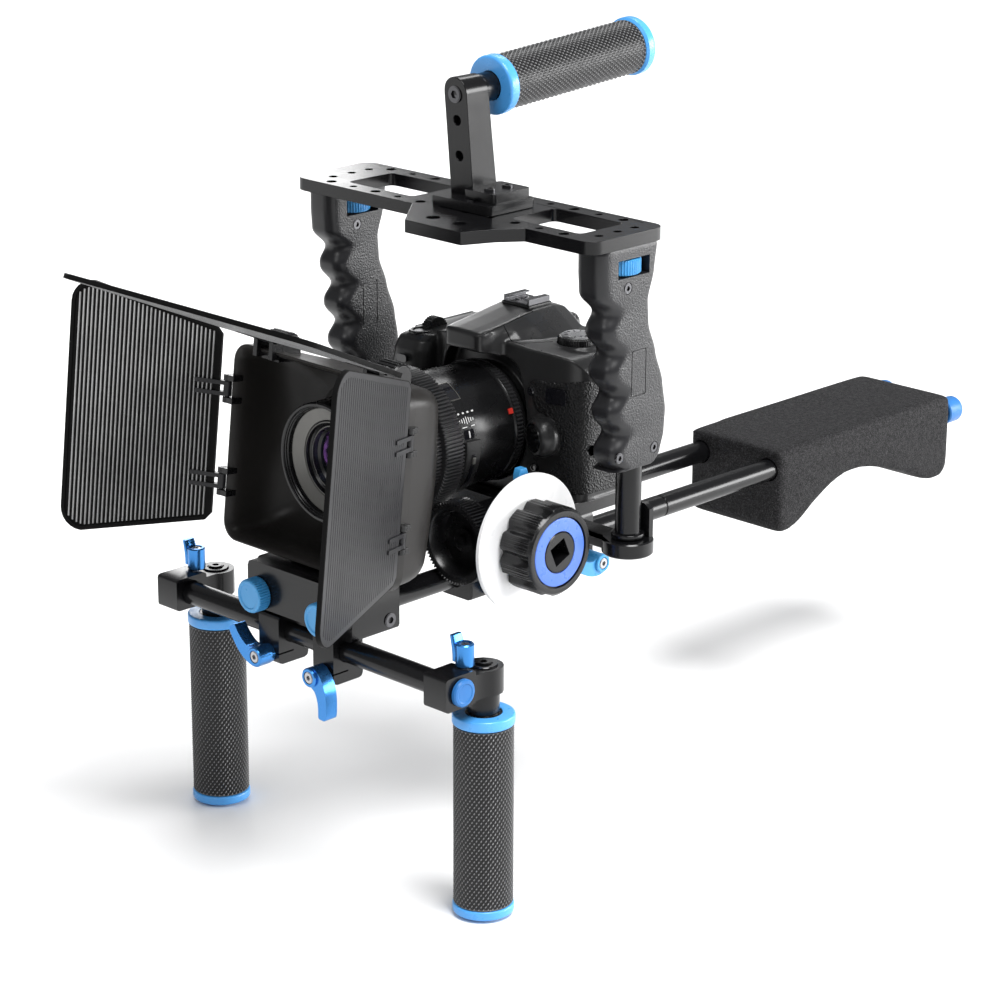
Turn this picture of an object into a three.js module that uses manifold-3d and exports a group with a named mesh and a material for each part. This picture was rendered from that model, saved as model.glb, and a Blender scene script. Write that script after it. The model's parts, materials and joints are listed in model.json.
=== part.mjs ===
// Shoulder camera rig on two 15 mm rods, in millimetres.
// +X is the operator's left, -Y is where the lens points, +Z is up.
// Sizes are measured from the point midway between the two rod axes; the whole rig is then
// moved so that its origin is the tripod point, at the middle of the base clamp's underside.

import * as THREE from 'three';
import { mergeVertices } from 'three/addons/utils/BufferGeometryUtils.js';
import Module from 'manifold-3d';

const wasm = await Module();
wasm.setup();

// ---------------------------------------------------------------- driving dimensions

const GAP = 0.3;            // clearance between pieces that touch
const SIDES = [['left', -1], ['right', 1]];   // as seen from the front of the lens

const ROD_R = 7.5;
const ROD_X = 30;
const ROD_FRONT = -223.2;
const ROD_REAR = 373;
const BORE_R = ROD_R + GAP;

const BAR = { y: -217.5, z: -23.6, half: 129.5 };
const HANDLE = { x: 120, y: -191.7, top: -46, bottom: -173.5, r: 18.3 };

const LENS_Z = 83;
const MATTE = { x: 76.6, height: 123, y: -218, z: 22, depth: 46, wall: 3, tilt: 6.6, hole: 46, axis: 66.8 };
const FLAG = { reach: 103.5, inner: 60, outer: 80, hinge: 79.6, thick: 2.4, z: 70 };

const CAGE = { x: 128.5, front: -110, back: -45, top: 223.5, thick: 8 };
const GRIP = { inner: 104.5, outer: 128, bottom: 78 };
const TRIPOD = { y: -42, z: -12.5 };
const BASE = { z0: 19.5, z1: 29, y: -59, half: 114, r: 16, waist: 7.2 };

const FOCUS = {
  y: -111, z: 30, disc: 43, gearX: 50, gearY: -138, gearZ: 30, gearR: 26.2, gearHalf: 7, ringR: 46.2,
};
const SOCKET = { corner: 9.1, turn: 69 };     // square hole in the focus knob
const TOP_GRIP = { x: 5, y0: -69, y1: 54, z0: 293.5, rise: 4, r: 17.4 };
const PAD = { half: 41, front: 177, back: 371, top: 15, foot: -45 };

// ---------------------------------------------------------------- solids

function solid(geometry) {
  const bare = geometry.clone();
  bare.deleteAttribute('normal');
  bare.deleteAttribute('uv');
  const merged = mergeVertices(bare, 1e-4);
  const mesh = new wasm.Mesh({
    numProp: 3,
    vertProperties: new Float32Array(merged.attributes.position.array),
    triVerts: new Uint32Array(merged.index.array),
  });
  return new wasm.Manifold(mesh);
}

function geometryOf(manifold) {
  const mesh = manifold.getMesh();
  const geometry = new THREE.BufferGeometry();
  geometry.setAttribute('position', new THREE.BufferAttribute(mesh.vertProperties.slice(), 3));
  geometry.setIndex(new THREE.BufferAttribute(mesh.triVerts.slice(), 1));
  geometry.computeVertexNormals();
  return geometry;
}

function join(first, ...others) {
  return others.reduce((sum, next) => sum.add(next), first);
}

function cut(first, ...others) {
  return others.reduce((rest, next) => rest.subtract(next), first);
}

function box(x0, x1, y0, y1, z0, z1) {
  const geometry = new THREE.BoxGeometry(x1 - x0, y1 - y0, z1 - z0);
  geometry.translate((x0 + x1) / 2, (y0 + y1) / 2, (z0 + z1) / 2);
  return solid(geometry);
}

// Axes of a turned or extruded piece: the two profile directions, then the long one.
const BASIS = {
  x: [[0, 1, 0], [0, 0, 1], [1, 0, 0]],
  y: [[0, 0, 1], [1, 0, 0], [0, 1, 0]],
  z: [[1, 0, 0], [0, 1, 0], [0, 0, 1]],
};

function along(axis, u, v, start) {
  const [du, dv, dw] = BASIS[axis].map((d) => new THREE.Vector3(...d));
  const place = du.clone().multiplyScalar(u).addScaledVector(dv, v).addScaledVector(dw, start);
  return new THREE.Matrix4().makeBasis(du, dv, dw).setPosition(place);
}

// Centre of a round piece: (y, z) along x, (z, x) along y, (x, y) along z.
function turned(axis, u, v, start, profile, segments = 16) {
  const points = profile.map(([r, w]) => new THREE.Vector2(r, w));
  const geometry = new THREE.LatheGeometry(points, segments);
  geometry.rotateX(Math.PI / 2);
  geometry.applyMatrix4(along(axis, u, v, start));
  const mesh = solid(geometry);
  return mesh.volume() < 0 ? solid(flipped(geometry)) : mesh;
}

function flipped(geometry) {
  const index = geometry.index.array;
  for (let i = 0; i < index.length; i += 3) {
    [index[i], index[i + 1]] = [index[i + 1], index[i]];
  }
  return geometry;
}

function rod(axis, u, v, start, end, radius, segments = 16) {
  const length = end - start;
  return turned(axis, u, v, start, [[0, length], [radius, length], [radius, 0], [0, 0]], segments);
}

// A disc with its two rims bevelled by the given width.
function puck(axis, u, v, start, end, radius, bevel, segments = 20) {
  const length = end - start;
  const profile = [
    [0, length], [radius - bevel, length], [radius, length - bevel],
    [radius, bevel], [radius - bevel, 0], [0, 0],
  ];
  return turned(axis, u, v, start, profile, segments);
}

// An outline given as (y, z), (x, z) or (x, y) pairs, extruded along x, y or z.
function slab(axis, outline, start, end, bevel = 0) {
  const shape = outline instanceof THREE.Shape ? outline : polygon(outline, axis);
  const geometry = new THREE.ExtrudeGeometry(shape, {
    depth: end - start - 2 * bevel,
    bevelEnabled: bevel > 0,
    bevelThickness: bevel,
    bevelSize: bevel,
    bevelOffset: -bevel,
    bevelSegments: 1,
    curveSegments: 5,
  });
  geometry.applyMatrix4(along(axis, 0, 0, start + bevel));
  return solid(geometry);
}

function polygon(outline, axis) {
  const points = outline.map(([a, b]) => (axis === 'y' ? [b, a] : [a, b]));
  return new THREE.Shape(points.map(([a, b]) => new THREE.Vector2(a, b)));
}

// Corner points of a rectangle with round corners.
function rounded(a0, a1, b0, b1, radius, steps = 3) {
  const corners = [[a1, b1, 0], [a0, b1, 1], [a0, b0, 2], [a1, b0, 3]];
  return corners.flatMap(([a, b, quarter]) => {
    const ca = a + (quarter === 0 || quarter === 3 ? -radius : radius);
    const cb = b + (quarter < 2 ? -radius : radius);
    return Array.from({ length: steps + 1 }, (_, i) => {
      const angle = (quarter + i / steps) * Math.PI / 2;
      return [ca + radius * Math.cos(angle), cb + radius * Math.sin(angle)];
    });
  });
}

// Outline of a wheel with teeth or finger scallops.
function toothed(ca, cb, radius, depth, teeth, pointsPerTooth = 4) {
  return Array.from({ length: teeth * pointsPerTooth }, (_, i) => {
    const angle = (i / (teeth * pointsPerTooth)) * 2 * Math.PI;
    const phase = i % pointsPerTooth < pointsPerTooth / 2 ? 0 : depth;
    return [ca + (radius - phase) * Math.cos(angle), cb + (radius - phase) * Math.sin(angle)];
  });
}

// ---------------------------------------------------------------- materials and nodes

function material(color, roughness, metalness) {
  return new THREE.MeshStandardMaterial({ color, roughness, metalness });
}

const BLACK_METAL = material(0x17181a, 0.42, 0.8);
const BLACK_PLASTIC = material(0x1a1b1d, 0.6, 0);
const RUBBER = material(0x202123, 0.85, 0);
const FOAM = material(0x18191b, 0.95, 0);
const BLUE_PLASTIC = material(0x3f9fe0, 0.4, 0);
const BLUE_METAL = material(0x2a66b0, 0.25, 0.9);
const WHITE_DISC = material(0xf4f4f4, 0.35, 0);
const STEEL = material(0x9a9c9e, 0.3, 1);
const GLASS = material(0x1a2a2c, 0.05, 0);

const rig = new THREE.Group();
rig.position.set(0, -TRIPOD.y, -TRIPOD.z);

function node(name, manifold, look, parent = rig) {
  const mesh = new THREE.Mesh(geometryOf(manifold), look);
  mesh.name = name;
  parent.add(mesh);
  return mesh;
}

// ---------------------------------------------------------------- rods

function addRods() {
  for (const [side, s] of SIDES) {
    const x = s * ROD_X;
    const seam = turned('y', 0, x, 65, [[9, 1.2], [9, 0], [ROD_R - 0.6, 0], [ROD_R - 0.6, 1.2], [9, 1.2]]);
    const bar = rod('y', 0, x, ROD_FRONT, ROD_REAR, ROD_R);
    node(`rod_${side}`, cut(bar, seam), BLACK_METAL);
    node(`rod_cap_${side}`, puck('y', 0, x, ROD_REAR + GAP, 388, 9.4, 1.5), BLUE_PLASTIC);
  }
}

// ---------------------------------------------------------------- front bar and its bracket

function addBarBracket() {
  const slabTop = 12;
  const slabBottom = -17;
  const front = BAR.y - 12;
  let body = slab('y', rounded(-41, 41, slabBottom, slabTop, 3, 2), front + 8.5, -182);
  for (const [, s] of SIDES) {
    const x = s * 24.4;
    body = join(body, slab('x', rounded(front, front + 24, -43.5, -12, 3, 2), x - 9, x + 9));
  }
  for (const [, s] of SIDES) {
    body = cut(body, rod('y', 0, s * ROD_X, front - 1, -181, BORE_R));
  }
  body = cut(body, rod('x', BAR.y, BAR.z, -45, 45, BORE_R));
  body = cut(body, box(-45, 45, front - 1, BAR.y, -37, -36));
  body = cut(body, box(-15, 15, front + 12, -190, slabBottom - 1, -5));
  node('bar_bracket', body, BLACK_METAL);

  node('cross_bar', rod('x', BAR.y, BAR.z, -BAR.half, BAR.half, ROD_R), BLACK_METAL);
  for (const [side, s] of SIDES) {
    const start = s > 0 ? BAR.half + GAP : -BAR.half - GAP - 3;
    node(`cross_bar_cap_${side}`, puck('x', BAR.y, BAR.z, start, start + 3, 8.4, 0.8), BLUE_PLASTIC);
  }
}

// A ratchet lever on an axis along y: a hub with a finger blade that swings out.
function ratchet(x, z, backY, bladeAngle) {
  const hub = puck('y', z, x, backY - 12, backY, 6, 0.8, 16);
  const tip = new THREE.Vector2(Math.cos(bladeAngle), Math.sin(bladeAngle));
  const across = new THREE.Vector2(-tip.y, tip.x);
  const at = (r, t) => [x + tip.x * r + across.x * t, z + tip.y * r + across.y * t];
  const blade = [at(0, -5.4), at(13, -5), at(21, -7.2), at(22, -3.5), at(15, 4), at(0, 5.4)];
  const socket = rod('y', z, x, backY - 13, backY - 9.5, 2.6, 6);
  return cut(join(hub, slab('y', blade, backY - 11, backY - 3, 0.8)), socket);
}

function addBracketLevers() {
  const angles = { left: 2.6, right: -1.2 };
  for (const [side, s] of SIDES) {
    node(`bracket_lever_${side}`, ratchet(s * 24.4, -37.3, BAR.y - 12 - GAP, angles[side]), BLUE_METAL);
  }
}

// ---------------------------------------------------------------- front handles

function addHandle(side, s) {
  const clampHalf = 9.3;
  const middle = s * HANDLE.x;
  const inner = middle - clampHalf;
  const outer = middle + clampHalf;
  const around = rounded(BAR.y - 12.3, BAR.y + 12.3, BAR.z - 10.4, BAR.z + 10.4, 2, 2);
  const block = slab('x', around, inner, outer);
  const lugTop = BAR.z + 7;
  const lugBottom = BAR.z - 9;
  const lugEnd = HANDLE.y + 2;
  const lug = join(
    box(inner, outer, BAR.y + 8, lugEnd, lugBottom, lugTop),
    rod('z', middle, lugEnd, lugBottom, lugTop, clampHalf + 2.6),
  );
  const bolt = rod('z', middle, lugEnd, lugBottom - 1, lugTop + 1, 3.4, 16);
  const leverHole = rod('z', middle, BAR.y + 12.2, BAR.z - 9.5, BAR.z + 12, 2.6, 12);
  const bore = rod('x', BAR.y, BAR.z, -140, 140, BORE_R);
  node(`handle_clamp_${side}`, cut(join(block, lug), bore, bolt, leverHole), BLACK_METAL);

  const coreBottom = HANDLE.bottom - 2;
  const core = join(
    rod('z', middle, lugEnd, coreBottom, HANDLE.top, 11),
    rod('z', middle, lugEnd, HANDLE.top - 1, lugBottom - GAP, 9.5),
    rod('z', middle, lugEnd, lugBottom - 2, lugTop - 2, 3),
  );
  node(`handle_core_${side}`, core, BLACK_METAL);
  const sleeve = (from, to, r, bevel) => cut(
    puck('z', middle, lugEnd, from, to, r, bevel, 20),
    rod('z', middle, lugEnd, from - 1, to + 1, 11 + GAP),
  );
  node(`handle_rubber_${side}`, sleeve(HANDLE.bottom + 6, HANDLE.top - 7, HANDLE.r, 0.6), RUBBER);
  node(`handle_ring_top_${side}`, sleeve(HANDLE.top - 6.7, HANDLE.top, HANDLE.r + 0.4, 1.6), BLUE_PLASTIC);
  const bottomRing = puck('z', middle, lugEnd, HANDLE.bottom, HANDLE.bottom + 5.7, HANDLE.r + 0.2, 1.4, 20);
  const well = rod('z', middle, lugEnd, HANDLE.bottom - 3, HANDLE.bottom + 7, 11 + GAP);
  node(`handle_ring_bottom_${side}`, cut(bottomRing, well), BLUE_PLASTIC);

  const leverY = BAR.y + 12.2;
  const top = BAR.z + 10.4 + GAP;
  const knob = join(
    puck('z', middle, leverY, top, top + 14, 5.6, 0.8, 16),
    slab('z', rounded(middle - 9.4, middle - 4.6, leverY - 4, leverY + 4, 1.5, 2), top + 3, top + 20, 0.6),
    rod('z', middle, leverY, BAR.z - 8, top + 1, 2.2, 12),
  );
  const socket = rod('z', middle, leverY, top + 11.5, top + 16, 2.4, 6);
  node(`clamp_lever_${side}`, cut(knob, socket), BLUE_METAL);
}

// ---------------------------------------------------------------- matte box and flags

// All of the matte box is built upright and then leant back on its foot.
const matte = new THREE.Group();
matte.position.set(0, MATTE.y, MATTE.z);
matte.rotation.x = -THREE.MathUtils.degToRad(MATTE.tilt);
rig.add(matte);

// A shell between a rectangular front outline and a round back outline.
function funnel(frontHalf, z0, z1, corner, backRadius, y0, y1) {
  const steps = 4;
  const front = rounded(-frontHalf, frontHalf, z0, z1, corner, steps);
  const middle = MATTE.axis;
  const count = front.length;
  const back = front.map((_, i) => {
    const quarter = Math.floor(i / (steps + 1));
    const angle = (quarter + (i % (steps + 1)) / steps * 0.86 + 0.07) * Math.PI / 2;
    return [backRadius * Math.cos(angle), middle + backRadius * Math.sin(angle)];
  });
  const vertices = [];
  front.forEach(([x, z]) => vertices.push(x, y0, z));
  back.forEach(([x, z]) => vertices.push(x, y1, z));
  vertices.push(0, y0, middle, 0, y1, middle);
  const faces = [];
  for (let i = 0; i < count; i += 1) {
    const j = (i + 1) % count;
    faces.push(i, count + i, j, j, count + i, count + j);
    faces.push(2 * count, i, j);
    faces.push(2 * count + 1, count + j, count + i);
  }
  const geometry = new THREE.BufferGeometry();
  geometry.setAttribute('position', new THREE.Float32BufferAttribute(vertices, 3));
  geometry.setIndex(faces);
  return solid(geometry);
}

const HINGE_Y = -3;
const TOP_HINGE_Z = MATTE.height + 7.5;
const LUG_ROWS = [-35, 23];

function addMatteBox() {
  const w = MATTE.wall;
  const outer = funnel(MATTE.x - 2, 2, MATTE.height - 2, 11, MATTE.hole + w, 0, MATTE.depth);
  const inner = funnel(MATTE.x - 2 - w, 2 + w, MATTE.height - 2 - w, 9, MATTE.hole, -3, MATTE.depth + 1);
  const lip = slab('y', rounded(-MATTE.x, MATTE.x, 0, MATTE.height, 12), -2, 4);
  let body = cut(join(outer, lip), inner);
  for (const [, s] of SIDES) {
    for (const z of LUG_ROWS.map((row) => FLAG.z + row)) {
      for (const offset of [-7, 7]) {
        const x = s * FLAG.hinge;
        const level = z + offset;
        const root = x - s * 8;
        const arm = box(Math.min(x, root), Math.max(x, root), HINGE_Y - 2.6, 3, level - 2, level + 2);
        body = join(body, arm, rod('z', x, HINGE_Y, level - 2, level + 2, 2.9, 8));
        body = cut(body, rod('z', x, HINGE_Y, level - 3, level + 3, 1.7, 6));
      }
    }
    const x = s * 48;
    for (const offset of [-7, 7]) {
      const lug = join(
        box(x + offset - 2, x + offset + 2, HINGE_Y - 2.6, 3, MATTE.height - 6, TOP_HINGE_Z),
        rod('x', HINGE_Y, TOP_HINGE_Z, x + offset - 2, x + offset + 2, 2.9, 8),
      );
      body = cut(join(body, lug), rod('x', HINGE_Y, TOP_HINGE_Z, x + offset - 3, x + offset + 3, 1.7, 6));
    }
  }
  const stem = slab('x', [[6, -1.1], [36, 2.4], [36, 18], [6, 12]], -24, 24);
  body = join(body, cut(stem, inner));
  node('matte_box', body, BLACK_PLASTIC, matte);
}

// A flag in its own hinge frame: u runs along the hinge, r away from it.
function flagSolid(inner, outer, reach, knuckles) {
  const corner = 9;
  const outline = [
    [-inner, 5], [inner, 5], [outer - 3, reach - corner], [outer - 6, reach - 3],
    [outer - corner - 3, reach], [-outer + corner + 3, reach], [-outer + 6, reach - 3],
    [-outer + 3, reach - corner],
  ];
  let plate = slab('z', outline, -FLAG.thick / 2, FLAG.thick / 2);
  for (const u of knuckles) {
    plate = join(
      plate,
      box(u - 4.6, u + 4.6, 0, 12, -2.6, 2.6),
      rod('x', 0, 0, u - 4.6, u + 4.6, 2.6, 10),
      rod('x', 0, 0, u - 8.5, u + 8.5, 1.3, 8),
    );
  }
  return plate;
}

function addFlags() {
  const open = { left: 30, right: 69, top: 17.5 };
  for (const [side, s] of SIDES) {
    const hinge = new THREE.Group();
    hinge.position.set(s * FLAG.hinge, HINGE_Y, FLAG.z);
    hinge.rotation.z = s * -THREE.MathUtils.degToRad(open[side]) + (s > 0 ? 0 : Math.PI);
    const turn = new THREE.Group();
    turn.setRotationFromMatrix(new THREE.Matrix4().makeBasis(
      new THREE.Vector3(0, 0, 1), new THREE.Vector3(1, 0, 0), new THREE.Vector3(0, 1, 0)));
    matte.add(hinge);
    hinge.add(turn);
    node(`flag_${side}`, flagSolid(FLAG.inner, FLAG.outer, FLAG.reach, LUG_ROWS), BLACK_PLASTIC, turn);
  }
  const hinge = new THREE.Group();
  hinge.position.set(0, HINGE_Y, TOP_HINGE_Z);
  hinge.rotation.x = Math.PI - THREE.MathUtils.degToRad(open.top);
  matte.add(hinge);
  node('flag_top', flagSolid(77, 110, 120, [-48, 48]), BLACK_PLASTIC, hinge);
}

function addMatteFoot() {
  const foot = slab('x', rounded(-224, -190, 12 + GAP, 19.6, 2, 2), -40, 40);
  const nose = slab('y', rounded(-41, 41, -9.7, 19.6, 4, 2), -231, BAR.y - 3.5 - GAP);
  let body = join(nose, foot);
  for (const [, s] of SIDES) {
    body = cut(body, rod('y', 0, s * ROD_X, ROD_FRONT - 1.3, -218, BORE_R));
    body = cut(body, rod('y', 0, s * ROD_X, -232, -222, 3.4, 16));
  }
  node('matte_foot', body, BLACK_METAL);
  for (const [side, s] of SIDES) {
    const x = s * ROD_X;
    const head = slab('y', toothed(x, 0, 10.3, 0.8, 16, 2), -240.5, -231 - GAP);
    const stud = rod('y', 0, x, -232, ROD_FRONT - GAP, 2.8, 16);
    node(`rod_knob_${side}`, join(head, stud), BLUE_PLASTIC);
  }
}

// ---------------------------------------------------------------- follow focus

function addFollowFocus() {
  const { y, z, disc, gearX, gearY, gearZ, gearR, gearHalf } = FOCUS;
  const screwY = y + 7;
  const screwZ = -7.5;
  const clamp = slab('y', rounded(17, 46, -14, 13, 4, 2), y - 14, y + 14);
  const gearCase = slab('y', rounded(36, 68, 9, 47, 4, 2), gearY + 12, y + 18);
  const nose = rod('x', y, z, 66, 77, 12);
  let body = join(clamp, gearCase, nose);
  body = cut(body, rod('y', 0, ROD_X, y - 20, y + 20, BORE_R));
  body = cut(body, rod('x', y, z, 60, 78, 4.3, 16));
  body = cut(body, rod('y', gearZ, gearX, gearY + 5, gearY + 24, 4.3, 16));
  body = cut(body, rod('x', screwY, screwZ, 39, 47, 3.3, 14));
  node('focus_housing', body, BLACK_METAL);

  const gear = slab('y', toothed(gearX, gearZ, gearR, 1.6, 34, 2), gearY - gearHalf, gearY + gearHalf);
  const recess = rod('y', gearZ, gearX, gearY - gearHalf - 1, gearY - 2.5, gearR - 5);
  const shaft = rod('y', gearZ, gearX, gearY - 3.5, gearY + 22, 4, 16);
  node('drive_gear', join(cut(gear, recess), shaft), BLACK_PLASTIC);

  node('focus_disc', cut(
    puck('x', y, z, 77 + GAP, 80.8, disc, 0.5, 40),
    rod('x', y, z, 76, 82, 4.3, 16),
  ), WHITE_DISC);
  const scallops = Array.from({ length: 50 }, (_, i) => {
    const angle = i / 50 * 2 * Math.PI;
    const r = 27.6 - 1.8 * Math.max(0, Math.cos(10 * angle)) ** 2;
    return [y + r * Math.cos(angle), z + r * Math.sin(angle)];
  });
  let knob = slab('x', scallops, 81.1, 107, 1.6);
  knob = cut(knob, rod('x', y, z, 104.6, 108, 22.2, 28));
  knob = join(knob, rod('x', y, z, 62, 82, 4, 16));
  const socket = Array.from({ length: 4 }, (_, i) => {
    const angle = THREE.MathUtils.degToRad(SOCKET.turn + 90 * i);
    return [y + SOCKET.corner * Math.cos(angle), z + SOCKET.corner * Math.sin(angle)];
  });
  knob = cut(knob, slab('x', socket, 93, 109));
  node('focus_knob', knob, BLACK_PLASTIC);
  node('focus_knob_ring', cut(
    puck('x', y, z, 104.6 + GAP, 107.4, 21.9, 0.6, 28),
    rod('x', y, z, 104, 109, 12.8),
  ), BLUE_PLASTIC);
  node('focus_clamp_knob', join(
    slab('x', toothed(screwY, screwZ, 9, 0.8, 14, 2), 46 + GAP, 58),
    rod('x', screwY, screwZ, 40, 47, 2.8, 12),
  ), BLUE_METAL);
}

// ---------------------------------------------------------------- cage

// Side outline of a hand grip, front edge with four finger grooves, as (y, z) pairs.
function gripOutline() {
  const top = CAGE.top - CAGE.thick - GAP;
  const front = [[-101, top], [-101, top - 18]];
  const grooves = 4;
  const pitch = 25.4;
  const steps = 5;
  const start = top - 25.6;
  for (let i = 0; i <= grooves * steps; i += 1) {
    const phase = i / steps;
    const depth = 5 * (1 - Math.cos(phase * 2 * Math.PI)) / 2;
    front.push([-99.8 + phase * 3.6 + depth, start - phase * pitch]);
  }
  const back = [
    [-84, GRIP.bottom], [-50, GRIP.bottom], [-44.5, 84], [-41, 96], [-40, 110], [-43, 128],
    [-50, 148], [-56.5, 166], [-57.5, 181], [-52.5, 198], [-50, top],
  ];
  return [...front, ...back];
}

function addCage() {
  const { x, front, back, top, thick } = CAGE;
  const z0 = top - thick;
  const tab = [[-24, front + 4], [8, front - 34], [55, front - 34], [64, front - 14], [78, front + 4]];
  let plate = join(
    slab('z', rounded(-x, x, front, back, 9), z0, top),
    slab('z', tab, z0, top),
  );
  const windows = [[-92, -34], [50, 107]];
  for (const [a, b] of windows) {
    plate = cut(plate, slab('z', rounded(a, b, front + 13, back - 14, 4, 2), z0 - 1, top + 1));
  }
  const rowX = Array.from({ length: 11 }, (_, i) => -100 + 20 * i);
  for (const hx of rowX) {
    const radius = hx % 40 === 0 ? 3.2 : 2.2;
    plate = cut(plate, rod('z', hx, back - 7, z0 - 1, top + 1, radius, 6));
    plate = cut(plate, rod('z', hx, front + 6.5, z0 - 1, top + 1, radius, 6));
  }
  for (const hx of [-110, 118]) {
    for (const hy of [front + 17, front + 33, front + 48]) {
      plate = cut(plate, rod('z', hx, hy, z0 - 1, top + 1, 2.6, 8));
    }
  }
  for (const hx of [16, 38]) {
    plate = cut(plate, rod('z', hx, front - 18, z0 - 1, top + 1, 4.4, 12));
  }
  node('top_plate', plate, BLACK_METAL);

  for (const [side, s] of SIDES) {
    const x0 = s > 0 ? GRIP.inner : -GRIP.outer;
    const x1 = s > 0 ? GRIP.outer : -GRIP.inner;
    const wheelX = s * 116.3;
    const wheelY = -73;
    const wheelZ = 203;
    let grip = slab('x', gripOutline(), x0, x1, 2.2);
    grip = cut(grip, rod('z', wheelX, wheelY, wheelZ - 5.2, wheelZ + 5.2, 12.4));
    const window = s > 0 ? [122, 130] : [-130, -122];
    grip = cut(grip, box(...window, wheelY - 9.5, wheelY + 9.5, wheelZ - 5.2, wheelZ + 5.2));
    grip = cut(grip, rod('z', s * BASE.half, BASE.y, GRIP.bottom - 1, GRIP.bottom + 24, 8 + GAP));
    node(`cage_grip_${side}`, grip, BLACK_PLASTIC);
    const wheel = slab('z', toothed(wheelX, wheelY, 12, 0.5, 18, 2), wheelZ - 4.8, wheelZ + 4.8);
    node(`cage_wheel_${side}`, wheel, BLUE_PLASTIC);
    const post = rod('z', s * BASE.half, BASE.y, BASE.z1 + GAP, GRIP.bottom + 23.6, 8);
    node(`cage_post_${side}`, post, BLACK_METAL);
  }
}

function addBase() {
  const { z0, z1, y, half, r, waist } = BASE;
  let bar = slab('z', rounded(-half, half, y - waist, y + waist, 1), z0, z1, 0.8);
  for (const [, s] of SIDES) {
    bar = join(bar, puck('z', s * half, y, z0, z1, r, 0.8, 28));
  }
  for (const [, s] of SIDES) {
    const wall = slab('y', [
      [s * (half - 8), z1 - 1], [s * (half + 10), z1 - 1], [s * (half + 10), z1 + 18],
      [s * (half + 6), z1 + 21], [s * (half - 8), z1 + 21],
    ], y + 8.4, y + 12);
    bar = join(bar, wall);
  }
  node('base_bar', bar, BLACK_METAL);

  const leverY = y + 38;
  const leverZ = -11;
  let clamp = slab('y', rounded(-45, 45, TRIPOD.z, z0 - GAP, 3, 2), y - 17, y + 44);
  for (const [, s] of SIDES) {
    clamp = cut(clamp, rod('y', 0, s * ROD_X, y - 20, y + 50, BORE_R));
  }
  clamp = cut(clamp, rod('x', leverY, leverZ, 38.5, 46, 2.9, 12));
  node('base_clamp', clamp, BLACK_METAL);

  const lever = join(
    puck('x', leverY, leverZ, 45 + GAP, 61, 6, 0.8, 16),
    slab('x', [
      [leverY + 2, leverZ - 5.6], [leverY + 4, leverZ + 5], [leverY - 12, leverZ + 7],
      [leverY - 25, leverZ + 10], [leverY - 26, leverZ + 5], [leverY - 12, leverZ - 3],
    ], 47, 57, 0.8),
    rod('x', leverY, leverZ, 40, 46, 2.5, 12),
  );
  node('base_lever', cut(lever, rod('x', leverY, leverZ, 58, 62, 2.6, 6)), BLUE_METAL);

  const plate = slab('z', rounded(-68, 68, -84, -12, 5, 2), z1 + GAP, 39.7, 0.8);
  node('camera_plate', plate, BLACK_METAL);
}

// ---------------------------------------------------------------- top handle

function addTopHandle() {
  const z0 = CAGE.top + GAP;
  const foot = slab('z', rounded(-8, 40, -105, -65, 4, 2), z0, z0 + 6, 0.8);
  const arm = slab('x', [
    [-91, z0 + 4], [-72, z0 + 4], [-80.5, 296], [-84, 302], [-94, 302.5], [-99, 296],
  ], -5, 14, 1.2);
  const web = slab('x', [[-74, z0 + 4], [-68, z0 + 4], [-78, z0 + 26]], 0, 9);
  const { x, y0, y1, rise, r } = TOP_GRIP;
  let body = join(foot, arm, web);
  for (const z of [254, 276]) {
    body = cut(body, rod('y', z, 4.5, -110, -60, 3, 12));
  }
  for (const [fx, fy] of [[-3, -98], [20, -71], [34, -73], [34, -97]]) {
    body = cut(body, rod('z', fx, fy, z0 - 1, z0 + 8, 2.3, 8));
  }
  node('top_arm', body, BLACK_METAL);

  const grip = new THREE.Group();
  grip.position.set(x, y0, TOP_GRIP.z0);
  grip.rotation.x = THREE.MathUtils.degToRad(rise);
  rig.add(grip);
  const length = y1 - y0;
  const tube = (from, to, radius, bevel) => cut(
    puck('y', 0, 0, from, to, radius, bevel, 20),
    rod('y', 0, 0, from - 1, to + 1, 9 + GAP),
  );
  node('top_grip_core', rod('y', 0, 0, -10.6, length + 4, 9), BLACK_METAL, grip);
  node('top_grip_ring', tube(0, 8, r + 1.1, 2), BLUE_PLASTIC, grip);
  node('top_grip_rubber', tube(8.3, length - 0.3, r, 0.6), RUBBER, grip);
  const cap = cut(
    puck('y', 0, 0, length, length + 8, r + 1.1, 2, 20),
    rod('y', 0, 0, length - 1, length + 4.3, 9 + GAP),
  );
  node('top_grip_cap', cap, BLUE_PLASTIC, grip);
}

// ---------------------------------------------------------------- shoulder pad

function addPad() {
  const { half, front, back, top, foot } = PAD;
  const outline = [
    [front + 1, top - 4], [front + 5, top], [back - 9, top], [back - 2, top - 5], [back, -18],
    [back - 1, -36], [back - 7, foot], [back - 25, foot + 1.5], [322, -33], [290, -22], [265, -17],
    [244, -19], [222, -28.5], [204, -40], [192, foot], [front + 5, foot], [front, foot + 5],
  ];
  const inner = { x: 38.5, y0: 205, y1: 335, z: 10.2 };
  const block = (grow) => slab(
    'x', rounded(inner.y0 - grow, inner.y1 + grow, -inner.z - grow, inner.z + grow, 3, 2),
    -inner.x - grow, inner.x + grow);
  let foam = cut(slab('x', outline, -half, half, 2.4), block(GAP));
  let core = block(0);
  for (const [, s] of SIDES) {
    foam = cut(foam, rod('y', 0, s * ROD_X, front - 5, back + 5, BORE_R + 0.3));
    core = cut(core, rod('y', 0, s * ROD_X, front - 5, back + 5, BORE_R));
  }
  node('shoulder_pad', foam, FOAM);
  node('pad_core', core, BLACK_PLASTIC);
}

// ---------------------------------------------------------------- camera and lens

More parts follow.
